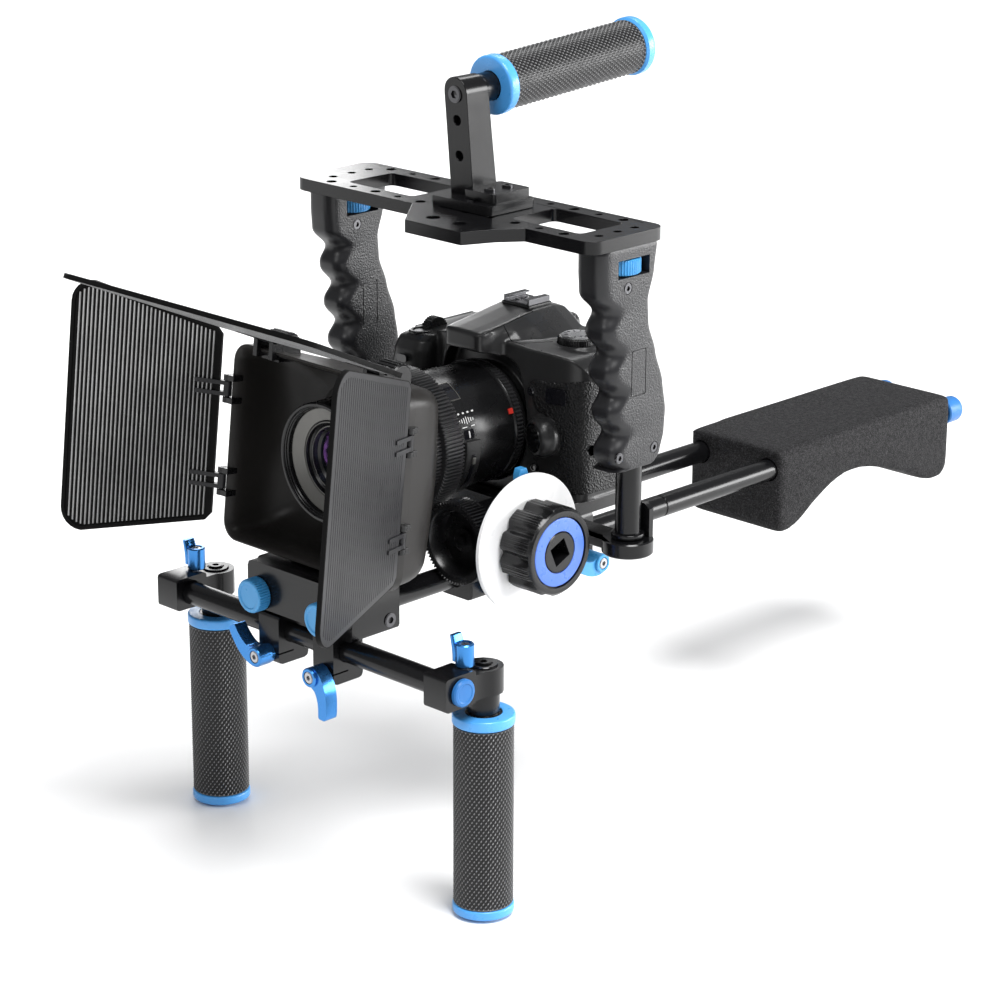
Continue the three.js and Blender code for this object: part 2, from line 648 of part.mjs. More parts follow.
function addCamera() {
  const base = 40;
  const dialX = 51;
  const dialY = -38;
  const dialZ = 133;
  const release = { x: 50, z: 82, y: -76.5 };
  const outline = [
    [-71, base], [75, base], [77, base + 8], [77, 118], [71, 130], [40, 134], [31, 137], [17, 148],
    [-17, 148], [-27, 134], [-44, 129], [-66, 129], [-72, 120], [-72, base + 4],
  ];
  let body = slab('y', outline, -62, -8, 2.4);
  const handGrip = slab('z', rounded(-72, -42, -84, -50, 9), base + 1, 126, 2);
  const brow = slab('x', [
    [-62, 120], [-79, 131], [-82, 138], [-60, 149], [-30, 151], [-12, 150], [-12, 120],
  ], -16, 16, 1.6);
  const shoe = join(box(-10, 10, -39, -16, 148, 154), box(-12, 12, -39, -16, 154, 156));
  const finder = slab('y', rounded(-15, 16, 116, 142, 5, 2), -12, 2);
  const mount = rod('y', LENS_Z, 0, -66, -60, 36);
  const boss = rod('y', release.z, release.x, release.y + 2.5, -60, 11);
  body = join(body, handGrip, brow, finder, mount, boss);
  body = join(body, cut(shoe, box(-9, 9, -40, -18, 151, 153.9), box(-6, 6, -40, -18, 153, 157)));
  body = cut(body, rod('z', dialX, dialY, 124, 140, 4, 12));
  body = cut(body, rod('z', -57, -68, 120, 130, 5.4, 14));
  body = cut(body, rod('y', release.z, release.x, release.y - 1, release.y + 11.5, 8.3));
  body = cut(body, rod('z', dialX, dialY, dialZ - GAP, 150, 12.9));
  node('camera_body', body, BLACK_PLASTIC);

  const dial = slab('z', toothed(dialX, dialY, 12.5, 0.5, 18, 2), dialZ, dialZ + 8.5);
  node('mode_dial', join(dial, rod('z', dialX, dialY, dialZ - 5, dialZ + 1, 3.6, 12)), STEEL);
  node('shutter_button', rod('z', -57, -68, 121.4, 128.6, 5, 20), STEEL);
  const button = rod('y', release.z, release.x, release.y, release.y + 9.5, 8, 20);
  node('lens_release_button', button, BLACK_PLASTIC);
}

function addLens() {
  const start = -66 - GAP;
  const at = (y) => start - y;
  const barrel = turned('y', LENS_Z, 0, -206, [
    [0, start + 206], [34.5, start + 206], [35.5, 133], [37.4, 131], [37.4, 104], [38, 102.8],
    [38, 34], [40, 33.8], [40, 2], [38.6, 0], [36.2, 0], [35, 10], [31, 16], [31, 12], [0, 12],
  ], 28);
  node('lens_barrel', barrel, BLACK_PLASTIC);
  const { gearY, gearHalf, ringR } = FOCUS;
  let ring = cut(
    slab('y', toothed(0, LENS_Z, 41.6, 0.9, 24, 2), -168, -133),
    rod('y', LENS_Z, 0, -169, -132, 38 + GAP, 28),
  );
  const gear = cut(
    slab('y', toothed(0, LENS_Z, ringR, 1.6, 60, 2), gearY - gearHalf, gearY + gearHalf),
    rod('y', LENS_Z, 0, gearY - 8, gearY + 8, 39, 28),
  );
  ring = join(ring, gear);
  node('focus_ring', ring, RUBBER);
  node('front_glass', turned('y', LENS_Z, 0, -206 + 7, [
    [0, 4.6], [30.6, 4.6], [30.6, 3], [24, 1.2], [14, 0.3], [0, 0],
  ], 32), GLASS);
}

// ---------------------------------------------------------------- the whole rig

addRods();
addBarBracket();
addBracketLevers();
SIDES.forEach(([side, s]) => addHandle(side, s));
addMatteBox();
addFlags();
addMatteFoot();
addFollowFocus();
addCage();
addBase();
addTopHandle();
addPad();
addCamera();
addLens();

export default rig;
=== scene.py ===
import json
import math

import bmesh
import bpy
from mathutils import Matrix, Vector
from mathutils.geometry import tessellate_polygon


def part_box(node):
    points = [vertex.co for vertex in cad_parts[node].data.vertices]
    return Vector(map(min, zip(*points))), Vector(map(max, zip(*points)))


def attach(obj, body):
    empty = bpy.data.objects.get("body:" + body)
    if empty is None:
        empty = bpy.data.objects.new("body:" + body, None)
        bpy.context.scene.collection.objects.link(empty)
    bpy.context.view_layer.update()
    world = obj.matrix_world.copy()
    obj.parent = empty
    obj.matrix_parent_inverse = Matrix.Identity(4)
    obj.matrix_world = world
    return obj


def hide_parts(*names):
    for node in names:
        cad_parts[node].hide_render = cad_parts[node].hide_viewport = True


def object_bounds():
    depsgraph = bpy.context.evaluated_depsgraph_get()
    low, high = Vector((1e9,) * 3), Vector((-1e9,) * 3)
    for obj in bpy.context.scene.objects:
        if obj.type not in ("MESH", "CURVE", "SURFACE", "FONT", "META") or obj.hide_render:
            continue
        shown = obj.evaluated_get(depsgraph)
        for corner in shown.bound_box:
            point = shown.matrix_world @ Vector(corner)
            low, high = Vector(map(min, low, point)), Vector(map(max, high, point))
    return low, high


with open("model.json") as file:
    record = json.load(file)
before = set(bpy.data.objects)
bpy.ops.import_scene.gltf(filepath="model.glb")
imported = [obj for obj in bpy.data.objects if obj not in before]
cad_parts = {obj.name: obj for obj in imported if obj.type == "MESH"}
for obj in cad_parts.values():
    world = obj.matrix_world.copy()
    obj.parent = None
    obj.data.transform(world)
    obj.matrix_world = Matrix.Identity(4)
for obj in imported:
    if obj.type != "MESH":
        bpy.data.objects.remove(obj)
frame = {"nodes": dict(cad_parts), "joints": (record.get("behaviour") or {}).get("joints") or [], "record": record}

CAD_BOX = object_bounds()

# Sizes are in millimetres from the point midway between the two rod axes, as in the CAD part.
# X is the operator's left, -Y is where the lens points, Z is up.
MM = 0.001
ORIGIN = Vector((0.0, 42.0, 12.5))
SIDES = (("left", -1), ("right", 1))
TAU = 2 * math.pi

ROD_X = 30.0
BAR_Y = -217.5
BAR_Z = -23.6
HANDLE_X = 120.0
HANDLE_Y = -189.7
LENS_Z = 83.0
MATTE_Y = -218.0
MATTE_Z = 22.0
MATTE_TILT = math.radians(6.6)
FOCUS_Y = -111.0
FOCUS_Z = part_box("focus_disc")[0].z * 500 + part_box("focus_disc")[1].z * 500 - ORIGIN.z

# ------------------------------------------------------------------ mesh helpers


def lathe(profile, segments=64):
    """A piece turned about Z from (radius, height) pairs, closed where a radius is 0."""
    verts, rings = [], []
    for radius, height in profile:
        if radius < 1e-6:
            rings.append([len(verts)])
            verts.append(Vector((0, 0, height)))
            continue
        rings.append(list(range(len(verts), len(verts) + segments)))
        for i in range(segments):
            angle = TAU * i / segments
            verts.append(Vector((radius * math.cos(angle), radius * math.sin(angle), height)))
    return verts, skin(rings, segments)


def skin(rings, segments):
    """Faces between neighbouring rings of vertex numbers. A ring of one vertex is a pole."""
    faces = []
    for a, b in zip(rings, rings[1:]):
        for i in range(segments):
            j = (i + 1) % segments
            if len(a) == 1 and len(b) > 1:
                faces.append((a[0], b[j], b[i]))
            elif len(b) == 1 and len(a) > 1:
                faces.append((a[i], a[j], b[0]))
            elif len(a) > 1:
                faces.append((a[i], a[j], b[j], b[i]))
    return faces


def numbered(loops):
    """The points of loops of equal length, with the vertex numbers of each loop."""
    count = len(loops[0])
    verts = [Vector(p) for loop in loops for p in loop]
    return verts, [list(range(k * count, (k + 1) * count)) for k in range(len(loops))]


def loft(loops):
    """A closed skin through loops that all have the same number of points."""
    verts, rings = numbered(loops)
    return verts, skin(rings, len(loops[0])) + [tuple(reversed(rings[0])), tuple(rings[-1])]


def closed_tube(loops):
    """A ring-shaped skin: the last loop joins back to the first."""
    verts, rings = numbered(loops)
    return verts, skin(rings + rings[:1], len(loops[0]))


def turned_ring(profile, segments):
    """A ring turned about Z from the (radius, height) pairs of its closed section."""
    return closed_tube([level(circle(0, 0, radius, segments), z) for radius, z in profile])


def cylinder(radius, low, high, segments):
    return lathe([(0, low), (radius, low), (radius, high), (0, high)], segments)


def prism(outline, z0, z1, holes=()):
    """A flat outline of (x, y) pairs, with holes, extruded along Z."""
    loops = [list(outline)] + [list(hole) for hole in holes]
    flat = [Vector((x, y, 0)) for loop in loops for x, y in loop]
    total = len(flat)
    verts = [Vector((p.x, p.y, z0)) for p in flat] + [Vector((p.x, p.y, z1)) for p in flat]
    faces = []
    for tri in tessellate_polygon([[Vector((x, y, 0)) for x, y in loop] for loop in loops]):
        faces.append(tuple(tri))
        faces.append(tuple(i + total for i in reversed(tri)))
    start = 0
    for loop in loops:
        for i in range(len(loop)):
            a = start + i
            b = start + (i + 1) % len(loop)
            faces.append((a, b, b + total, a + total))
        start += len(loop)
    return verts, faces


def merged(*shapes):
    """Several shapes as one, without joining their skins."""
    verts, faces = [], []
    for shape_verts, shape_faces in shapes:
        base = len(verts)
        verts.extend(shape_verts)
        faces.extend(tuple(i + base for i in face) for face in shape_faces)
    return verts, faces


def moved(shape, matrix):
    return [matrix @ v for v in shape[0]], shape[1]


def at(x, y, z):
    return Matrix.Translation((x, y, z))


def turned(angle):
    """A turn about Z."""
    return Matrix.Rotation(angle, 4, "Z")


# Turns a piece made along Z so that it runs along another axis.
ALONG = {
    "+x": Matrix(((0, 0, 1), (1, 0, 0), (0, 1, 0))).to_4x4(),
    "-x": Matrix(((0, 0, -1), (-1, 0, 0), (0, 1, 0))).to_4x4(),
    "+y": Matrix(((0, 1, 0), (0, 0, 1), (1, 0, 0))).to_4x4(),
    "-y": Matrix(((1, 0, 0), (0, 0, -1), (0, 1, 0))).to_4x4(),
    "+z": Matrix.Identity(4),
    "-z": Matrix(((1, 0, 0), (0, -1, 0), (0, 0, -1))).to_4x4(),
}


# Puts an (x, z) outline as seen from the front in its place, extruded towards the front.
FROM_FRONT = Matrix(((1, 0, 0, 0), (0, 0, -1, 0), (0, 1, 0, 0), (0, 0, 0, 1)))


def block(x0, x1, y0, y1, z0, z1):
    """A box between two values on each axis."""
    return prism([(x0, y0), (x1, y0), (x1, y1), (x0, y1)], z0, z1)


def circle(x, y, radius, count=24, turn=0.0):
    angles = [turn + TAU * i / count for i in range(count)]
    return [(x + radius * math.cos(a), y + radius * math.sin(a)) for a in angles]


def level(outline, z, scale=1.0):
    """An (x, y) outline, scaled about the origin, as a loop of points at one height."""
    return [(x * scale, y * scale, z) for x, y in outline]


def round_rect(x0, x1, y0, y1, radius, steps=5):
    """An anticlockwise rectangle with `steps` lengths round each corner."""
    points = []
    for quarter, (cx, cy) in enumerate((
            (x1 - radius, y1 - radius), (x0 + radius, y1 - radius),
            (x0 + radius, y0 + radius), (x1 - radius, y0 + radius))):
        for i in range(steps + 1):
            angle = (quarter + i / steps) * math.pi / 2
            points.append((cx + radius * math.cos(angle), cy + radius * math.sin(angle)))
    return points


def gear_outline(radius, depth, teeth, points=4):
    """Outline of a wheel with square teeth, about the origin."""
    outline = []
    for i in range(teeth * points):
        low = i % points >= points / 2
        angle = TAU * i / (teeth * points)
        r = radius - depth if low else radius
        outline.append((r * math.cos(angle), r * math.sin(angle)))
    return outline


def smooth_loop(points, steps):
    """A closed Catmull-Rom curve through (x, y) points, with `steps` lengths between two."""
    count = len(points)
    result = []
    for k in range(count):
        corners = [points[(k + shift) % count] for shift in (-1, 0, 1, 2)]
        for i in range(steps):
            t = i / steps
            result.append(tuple(
                0.5 * (2 * b + (c - a) * t
                       + (2 * a - 5 * b + 4 * c - d) * t * t
                       + (3 * b - a - 3 * c + d) * t ** 3)
                for a, b, c, d in zip(*corners)))
    return result


def offset_loop(points, distance):
    """A closed outline moved inwards, for outlines that run anticlockwise."""
    count = len(points)
    result = []
    for i in range(count):
        before = Vector(points[i - 1])
        here = Vector(points[i])
        after = Vector(points[(i + 1) % count])
        tangent = (after - here).normalized() + (here - before).normalized()
        if tangent.length < 1e-6:
            tangent = after - before
        tangent.normalize()
        result.append((here.x - tangent.y * distance, here.y + tangent.x * distance))
    return result


# ------------------------------------------------------------------ objects

SHADE_ANGLE = math.radians(32)
WELD = 1e-7                                    # metres between points that are one point


def part_mesh(name, shape, matrix, weld=0.0):
    """A mesh in the part's frame from a shape in millimetres, with its faces pointing out."""
    to_part = Matrix.Scale(MM, 4) @ Matrix.Translation(ORIGIN) @ (matrix or Matrix.Identity(4))
    mesh = bpy.data.meshes.new(name)
    mesh.from_pydata([to_part @ v for v in shape[0]], [], shape[1])
    work = bmesh.new()
    work.from_mesh(mesh)
    if weld:
        bmesh.ops.remove_doubles(work, verts=work.verts, dist=weld)
    bmesh.ops.recalc_face_normals(work, faces=work.faces)
    work.to_mesh(mesh)
    work.free()
    return mesh


def shade(mesh, angle=SHADE_ANGLE):
    """Smooth shading, with edges sharper than the angle kept."""
    mesh.polygons.foreach_set("use_smooth", [True] * len(mesh.polygons))
    mesh.set_sharp_from_angle(angle=angle)


def linked(name, data):
    """An object for a mesh, light or camera, in the scene."""
    made = bpy.data.objects.new(name, data)
    bpy.context.scene.collection.objects.link(made)
    return made


def add(name, shape, look, body="root", replaces=None, matrix=None, bevel=0.0,
        angle=SHADE_ANGLE):
    """Makes one piece from a shape in millimetres and lets it ride on a CAD body.

    The look is the name of one of LOOKS, which also gives the slot, or a material of its own.
    """
    mesh = part_mesh(name, shape, matrix, WELD)
    shade(mesh, angle)
    mesh.materials.append(LOOKS.get(look, look))
    piece = linked(name, mesh)
    if bevel:
        add_bevel(piece, bevel)
    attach(piece, body)
    if replaces:
        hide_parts(replaces)
    return piece


def add_bevel(piece, width):
    modifier = piece.modifiers.new("Bevel", "BEVEL")
    modifier.width = width * MM
    modifier.segments = 2
    modifier.limit_method = "ANGLE"
    modifier.angle_limit = math.radians(38)
    modifier.use_clamp_overlap = True
    modifier.harden_normals = True


def boolean(piece, shapes, matrix=None, operation="DIFFERENCE"):
    """Cuts the shapes out of a piece, or joins them to it, and keeps the result as its mesh."""
    for shape in shapes:
        mesh = part_mesh("tool", shape, matrix)
        tool = linked("tool", mesh)
        modifier = piece.modifiers.new("Boolean", "BOOLEAN")
        modifier.operation = operation
        modifier.solver = "EXACT"
        modifier.object = tool
        bake(piece)
        bpy.data.objects.remove(tool)
        bpy.data.meshes.remove(mesh)
    shade(piece.data)


def bake(piece):
    """Applies a piece's modifiers to its mesh."""
    bpy.context.view_layer.update()
    graph = bpy.context.evaluated_depsgraph_get()
    result = bpy.data.meshes.new_from_object(piece.evaluated_get(graph))
    old = piece.data
    piece.modifiers.clear()
    piece.data = result
    bpy.data.meshes.remove(old)


def remeshed(piece, voxel, rounds):
    """Rebuilds a piece's skin in even cells of `voxel` mm and smooths it."""
    remesh = piece.modifiers.new("Remesh", "REMESH")
    remesh.mode = "VOXEL"
    remesh.voxel_size = voxel * MM
    smooth = piece.modifiers.new("Smooth", "SMOOTH")
    smooth.factor = 0.5
    smooth.iterations = rounds
    bake(piece)


# ------------------------------------------------------------------ materials


class Look:
    """A node material with short helpers for its procedural parts."""

    def __init__(self, name, colour, roughness, metallic=0.0, **sockets):
        self.material = bpy.data.materials.new(name)
        self.material.use_nodes = True
        self.tree = self.material.node_tree
        self.shader = self.tree.nodes["Principled BSDF"]
        self.shader.inputs["Base Color"].default_value = (*colour, 1)
        self.shader.inputs["Roughness"].default_value = roughness
        self.shader.inputs["Metallic"].default_value = metallic
        for socket, value in sockets.items():
            self.shader.inputs[socket.replace("_", " ")].default_value = value
        self.colour = colour
        self.roughness = roughness
        self.coordinates = self.tree.nodes.new("ShaderNodeTexCoord").outputs["Object"]
        self.normal = None

    def node(self, kind, **settings):
        made = self.tree.nodes.new(kind)
        for key, value in settings.items():
            setattr(made, key, value)
        return made

    def link(self, source, target):
        self.tree.links.new(source, target)

    def noise(self, scale, detail=4.0, roughness=0.55):
        texture = self.node("ShaderNodeTexNoise")
        texture.inputs["Scale"].default_value = scale
        texture.inputs["Detail"].default_value = detail
        texture.inputs["Roughness"].default_value = roughness
        self.link(self.coordinates, texture.inputs["Vector"])
        return texture.outputs["Fac"]

    def cells(self, scale):
        texture = self.node("ShaderNodeTexVoronoi", feature="F1")
        texture.inputs["Scale"].default_value = scale
        self.link(self.coordinates, texture.inputs["Vector"])
        return texture.outputs["Distance"]

    def on_sides(self, pattern):
        """Keeps a pattern on faces that look along X and fades it out elsewhere."""
        geometry = self.node("ShaderNodeNewGeometry")
        split = self.node("ShaderNodeSeparateXYZ")
        self.link(geometry.outputs["Normal"], split.inputs["Vector"])
        size = self.node("ShaderNodeMath", operation="ABSOLUTE")
        self.link(split.outputs["X"], size.inputs[0])
        product = self.node("ShaderNodeMath", operation="MULTIPLY")
        self.link(self.spread(size.outputs[0], 0, 1, 0.9, 0.99), product.inputs[0])
        self.link(pattern, product.inputs[1])
        return product.outputs[0]

    def spread(self, value, low, high, start=0.35, end=0.65):
        """Maps the middle of a 0 to 1 pattern to a new range."""
        ramp = self.node("ShaderNodeMapRange")
        numbers = {"From Min": start, "From Max": end, "To Min": low, "To Max": high}
        for socket, number in numbers.items():
            ramp.inputs[socket].default_value = number
        self.link(value, ramp.inputs["Value"])
        return ramp.outputs["Result"]

    def vary_roughness(self, scale, amount):
        low, high = self.roughness - amount, self.roughness + amount
        self.link(self.spread(self.noise(scale), low, high), self.shader.inputs["Roughness"])
        return self

    def vary_colour(self, pattern, other, start=0.35, end=0.65):
        mix = self.node("ShaderNodeMix", data_type="RGBA")
        mix.inputs["A"].default_value = (*self.colour, 1)
        mix.inputs["B"].default_value = (*other, 1)
        self.link(self.spread(pattern, 0, 1, start, end), mix.inputs["Factor"])
        self.link(mix.outputs["Result"], self.shader.inputs["Base Color"])
        return self

    def raised(self, matrix, low, high, other):
        """The tops of a knurl take another colour, a painted highlight: low and high are radii about a piece's
        axis.
        """
        mapping = self.node("ShaderNodeMapping", vector_type="TEXTURE")
        mapping.inputs["Location"].default_value = (matrix.translation + ORIGIN) * MM
        mapping.inputs["Rotation"].default_value = matrix.to_euler()
        self.link(self.coordinates, mapping.inputs["Vector"])
        flat = self.node("ShaderNodeVectorMath", operation="MULTIPLY")
        flat.inputs[1].default_value = (1, 1, 0)
        self.link(mapping.outputs["Vector"], flat.inputs[0])
        radius = self.node("ShaderNodeVectorMath", operation="LENGTH")
        self.link(flat.outputs["Vector"], radius.inputs[0])
        return self.vary_colour(radius.outputs["Value"], other, low * MM, high * MM)

    def bump(self, height, distance, strength=1.0):
        made = self.node("ShaderNodeBump")
        made.inputs["Strength"].default_value = strength
        made.inputs["Distance"].default_value = distance * MM
        self.link(height, made.inputs["Height"])
        if self.normal:
            self.link(self.normal, made.inputs["Normal"])
        self.normal = made.outputs["Normal"]
        self.link(self.normal, self.shader.inputs["Normal"])
        return self


def make_looks():
    """The node materials by name. Noise scales are per metre, bump depths in millimetres."""
    looks = {}

    def keep(name, colour, roughness, wander, grain=None, metallic=0.0, **sockets):
        """A look with (scale, amount) of wandering roughness and a fine grain, given as the
        (scale, detail) of its noise and the (depth, strength) of its bump."""
        look = Look(name, colour, roughness, metallic, **sockets)
        look.vary_roughness(*wander)
        if grain:
            scale, detail, depth, strength = grain
            look.bump(look.noise(scale, detail), depth, strength)
        looks[name] = look.material
        return look

    fine = (1500, 3, 0.02, 0.4)
    glossy = (1800, 3, 0.02, 0.5)
    keep("black_metal", (0.004, 0.004, 0.0045), 0.22, (60, 0.02), (3500, 2, 0.008, 0.2),
         Specular_IOR_Level=0.32)
    keep("matte_black_plastic", (0.017, 0.0158, 0.015), 0.38, (90, 0.04), fine,
         Specular_IOR_Level=0.22)
    keep("flag_core", (0.002, 0.002, 0.002), 0.6, (90, 0.04), fine, Specular_IOR_Level=0.1)
    keep("flag_plastic", (0.008, 0.008, 0.0095), 0.36, (70, 0.04), fine, Specular_IOR_Level=0.35)
    keep("black_plastic", (0.006, 0.006, 0.0065), 0.26, (60, 0.03), (2600, 2, 0.01, 0.3),
         Specular_IOR_Level=0.35)
    keep("camera_skin", (0.018, 0.018, 0.0185), 0.3, (60, 0.03), (1900, 3, 0.03, 0.5),
         Specular_IOR_Level=0.36)
    keep("ring_blue", (0.06, 0.15, 0.56), 0.3, (150, 0.05), glossy, Specular_IOR_Level=0.5)
    keep("blue_metal", (0.05, 0.22, 0.55), 0.24, (60, 0.04), metallic=0.85)
    keep("dark_steel", (0.1, 0.1, 0.105), 0.2, (150, 0.04), metallic=1.0)
    keep("steel", (0.42, 0.42, 0.43), 0.3, (150, 0.05), metallic=1.0)
    keep("lens_grey", (0.12, 0.118, 0.11), 0.34, (260, 0.06), (1800, 3, 0.02, 0.4), metallic=0.4)
    keep("screen", (0.006, 0.006, 0.008), 0.08, (300, 0.03), Specular_IOR_Level=0.7)
    keep("mark", (0.75, 0.75, 0.74), 0.45, (200, 0.05))
    keep("red_mark", (0.55, 0.03, 0.02), 0.4, (200, 0.05))

    for name, colour, other, roughness, specular in (
            ("blue_plastic", (0.065, 0.32, 0.74), (0.075, 0.35, 0.79), 0.32, 0.55),
            ("sky_plastic", (0.045, 0.27, 0.57), (0.055, 0.3, 0.62), 0.32, 0.45),
            ("cap_plastic", (0.025, 0.13, 0.36), (0.03, 0.15, 0.4), 0.35, 0.22)):
        blue = keep(name, colour, roughness, (150, 0.06), glossy, Specular_IOR_Level=specular)
        blue.vary_colour(blue.noise(55, 4), other)

    # Painted highlight: the flag ribs are black plastic, coloured light grey for the light they catch.
    rib = keep("rib_highlight", (0.29, 0.29, 0.292), 0.35, (70, 0.05), Specular_IOR_Level=0.4)
    rib.vary_colour(rib.noise(60, 3), (0.37, 0.37, 0.37))
    grip = keep("grip_plastic", (0.012, 0.012, 0.0135), 0.34, (60, 0.04), Specular_IOR_Level=0.4)
    grip.bump(grip.on_sides(grip.noise(850, 3)), 0.55, 0.8)
    leather = keep("leather", (0.004, 0.004, 0.0045), 0.4, (300, 0.06), Specular_IOR_Level=0.3)
    leather.bump(leather.cells(760), 0.6, 1.0).bump(leather.noise(1500, 3), 0.1, 0.5)
    rubber = keep("rubber", (0.012, 0.012, 0.013), 0.4, (200, 0.08), Specular_IOR_Level=0.4)
    rubber.vary_colour(rubber.noise(30, 5), (0.02, 0.02, 0.021))
    white = keep("white_disc", (0.86, 0.86, 0.87), 0.32, (90, 0.06), Specular_IOR_Level=0.5)
    white.vary_colour(white.noise(20, 3), (0.9, 0.9, 0.9))

    foam = keep("foam", (0.002, 0.002, 0.0024), 0.75, (400, 0.12), Sheen_Weight=0.01,
                Sheen_Roughness=0.5, Specular_IOR_Level=0.2)
    foam.vary_colour(foam.noise(1150, 3, 0.75), (0.055, 0.053, 0.057), 0.48, 0.72)
    foam.bump(foam.noise(1100, 4, 0.7), 0.6, 0.9)

    glass = Look("glass", (0.006, 0.004, 0.008), 0.03, Specular_IOR_Level=0.9, IOR=1.9,
                 Coat_Weight=1.0, Coat_Roughness=0.02, Coat_Tint=(0.75, 0.6, 0.95, 1.0),
                 Thin_Film_Thickness=420, Thin_Film_IOR=1.9)
    # Painted reflection: lilac patches in the glass's colour stand in for reflections in the front element.
    glass.vary_colour(glass.noise(90, 2), (0.3, 0.16, 0.34), 0.5, 0.62)
    looks["glass"] = glass.material
    return looks


LOOKS = make_looks()


def knurl_painted_highlight_look(name, matrix, radius):
    """Dark rubber whose small raised diamonds carry a painted highlight: their tops are coloured a lighter grey.
    """
    knurl = Look(name, (0.004, 0.004, 0.0045), 0.4, Specular_IOR_Level=0.35)
    # Painted highlight: the diamond tops are coloured light grey for the light they catch.
    knurl.raised(matrix, radius - 0.75 * KNURL_DEPTH, radius - 0.15 * KNURL_DEPTH, (0.2, 0.2, 0.203))
    return knurl.vary_roughness(200, 0.06).material


# ------------------------------------------------------------------ small shared pieces


def screw(name, position, direction, radius, body, look="steel", height=1.6):
    """A socket head screw: a bevelled head with a six-sided hole."""
    hole = circle(0, 0, radius * 0.5, 6)
    outer = circle(0, 0, radius, 24)
    rim = circle(0, 0, radius * 0.88, 24)
    floor_z = height * 0.25
    shape = merged(
        prism(rim, height - 0.3, height, [hole]),
        prism(outer, 0, height - 0.3, [hole]),
        prism(circle(0, 0, radius * 0.6, 12), 0, floor_z),
    )
    return add(name, shape, LOOKS[look], body=body,
               matrix=at(*position) @ ALONG[direction])


KNURL_DEPTH = 0.9
KNURL_ANGLE = math.radians(25)


def knurled_sleeve(radius, inner, start, end, periods=40):
    """A tube whose outside is covered in small raised diamonds."""
    columns = periods * 4
    rows = 4 * round((end - start - 2) / 3.9)
    floor, shoulder = radius - KNURL_DEPTH, radius - KNURL_DEPTH * 0.4

    def round_loop(reach, z):
        return level(circle(0, 0, reach, columns), z)

    loops = [round_loop(inner, start), round_loop(floor, start), round_loop(shoulder, start + 0.5)]
    for k in range(rows + 1):
        z = start + 1 + (end - start - 2) * k / rows
        loop = []
        for i in range(columns):
            lift = (0.5 + 0.5 * math.cos(TAU * i / 4) * math.cos(TAU * k / 4)) ** 2.4
            reach = radius - KNURL_DEPTH * (1 - lift)
            angle = TAU * i / columns
            loop.append((reach * math.cos(angle), reach * math.sin(angle), z))
        loops.append(loop)
    loops += [round_loop(shoulder, end - 0.5), round_loop(floor, end), round_loop(inner, end)]
    return closed_tube(loops)


def ribbed_knob(radius, depth, teeth, length, dish=0.6):
    """A finger knob along Z with fine ribs, rounded rims and a slightly dished end."""
    ribs = gear_outline(radius, depth, teeth)
    core = circle(0, 0, radius - depth, len(ribs))
    return loft([level(core, 0, 0.97), level(ribs, 0.5), level(ribs, length - 1.3),
                 level(core, length - 0.5), level(core, length, 0.93), level(core, length, 0.8),
                 level(core, length - dish, 0.74)])


def soft_ring(outer, inner, start, end, rim=1.4, segments=72):
    """A ring with rounded outer rims."""
    middle = outer - rim
    turns = [math.pi / 2 * i / 4 for i in range(5)]
    profile = [(inner, start)]
    profile += [(middle + rim * math.sin(a), start + rim - rim * math.cos(a)) for a in turns]
    profile += [(middle + rim * math.cos(a), end - rim + rim * math.sin(a)) for a in turns]
    profile.append((inner, end))
    return turned_ring(profile, segments)


# ------------------------------------------------------------------ front handles and levers

HANDLE_TOP = -46.0
HANDLE_BOTTOM = -173.5
SLEEVE_RADIUS = 18.3
LEVER_OUTLINE = smooth_loop(
    [(-5.6, 1.2), (-4.4, -3.8), (-0.5, -6), (3.4, -8.6), (5.6, -13.5), (6.4, -19), (6.6, -24.2),
     (9.5, -25), (12.6, -24.2), (13.4, -17), (13, -9), (11, -2.5), (7.5, 3), (3, 6), (-2.4, 5.4)], 5)


def comma_lever(turn, thick):
    """A ratchet lever: a round hub that runs into a curved finger blade, seen from its front."""
    spin = Matrix.Rotation(turn, 2)
    outline = [tuple(spin @ Vector(p)) for p in LEVER_OUTLINE]
    hub = lathe([(0, 0), (6, 0), (6, thick - 0.6), (5.4, thick), (4, thick), (3.8, thick - 1.6),
                 (0, thick - 1.6)], 40)
    return merged(prism(outline, 1.2, thick - 1.8), hub)


def add_handles():
    core = 11.3
    for side, s in SIDES:
        body = f"handle_{side}"
        x = s * HANDLE_X
        spot = at(x, HANDLE_Y, 0)
        add(f"handle_sleeve_{side}",
            knurled_sleeve(SLEEVE_RADIUS, core, HANDLE_BOTTOM + 6, HANDLE_TOP - 7),
            knurl_painted_highlight_look(f"knurl_{side}", spot, SLEEVE_RADIUS), body=body,
            replaces=f"handle_rubber_{side}", matrix=spot, angle=KNURL_ANGLE)
        for end, radius, low, high in (("top", 18.8, HANDLE_TOP - 6.8, HANDLE_TOP),
                                       ("bottom", 18.6, HANDLE_BOTTOM, HANDLE_BOTTOM + 5.8)):
            add(f"handle_collar_{end}_{side}", soft_ring(radius, core, low, high), "blue_plastic",
                body=body, replaces=f"handle_ring_{end}_{side}", matrix=spot)
        washer = lathe([(0, 0), (8.4, 0), (8.4, 0.5), (7.9, 1), (5.4, 1), (5.2, 0.4), (0, 0.4)], 40)
        add(f"handle_washer_{side}", washer, "black_metal", body=body,
            matrix=at(x, HANDLE_Y, BAR_Z + 7))
        screw(f"handle_screw_{side}", (x, HANDLE_Y, BAR_Z + 7.3), "+z", 4.6, body, "black_metal", 1.8)
        screw(f"handle_end_screw_{side}", (x, HANDLE_Y, HANDLE_BOTTOM - 1.9), "-z", 5, body,
              "black_metal", 1.2)
        add_clamp_lever(side, x)


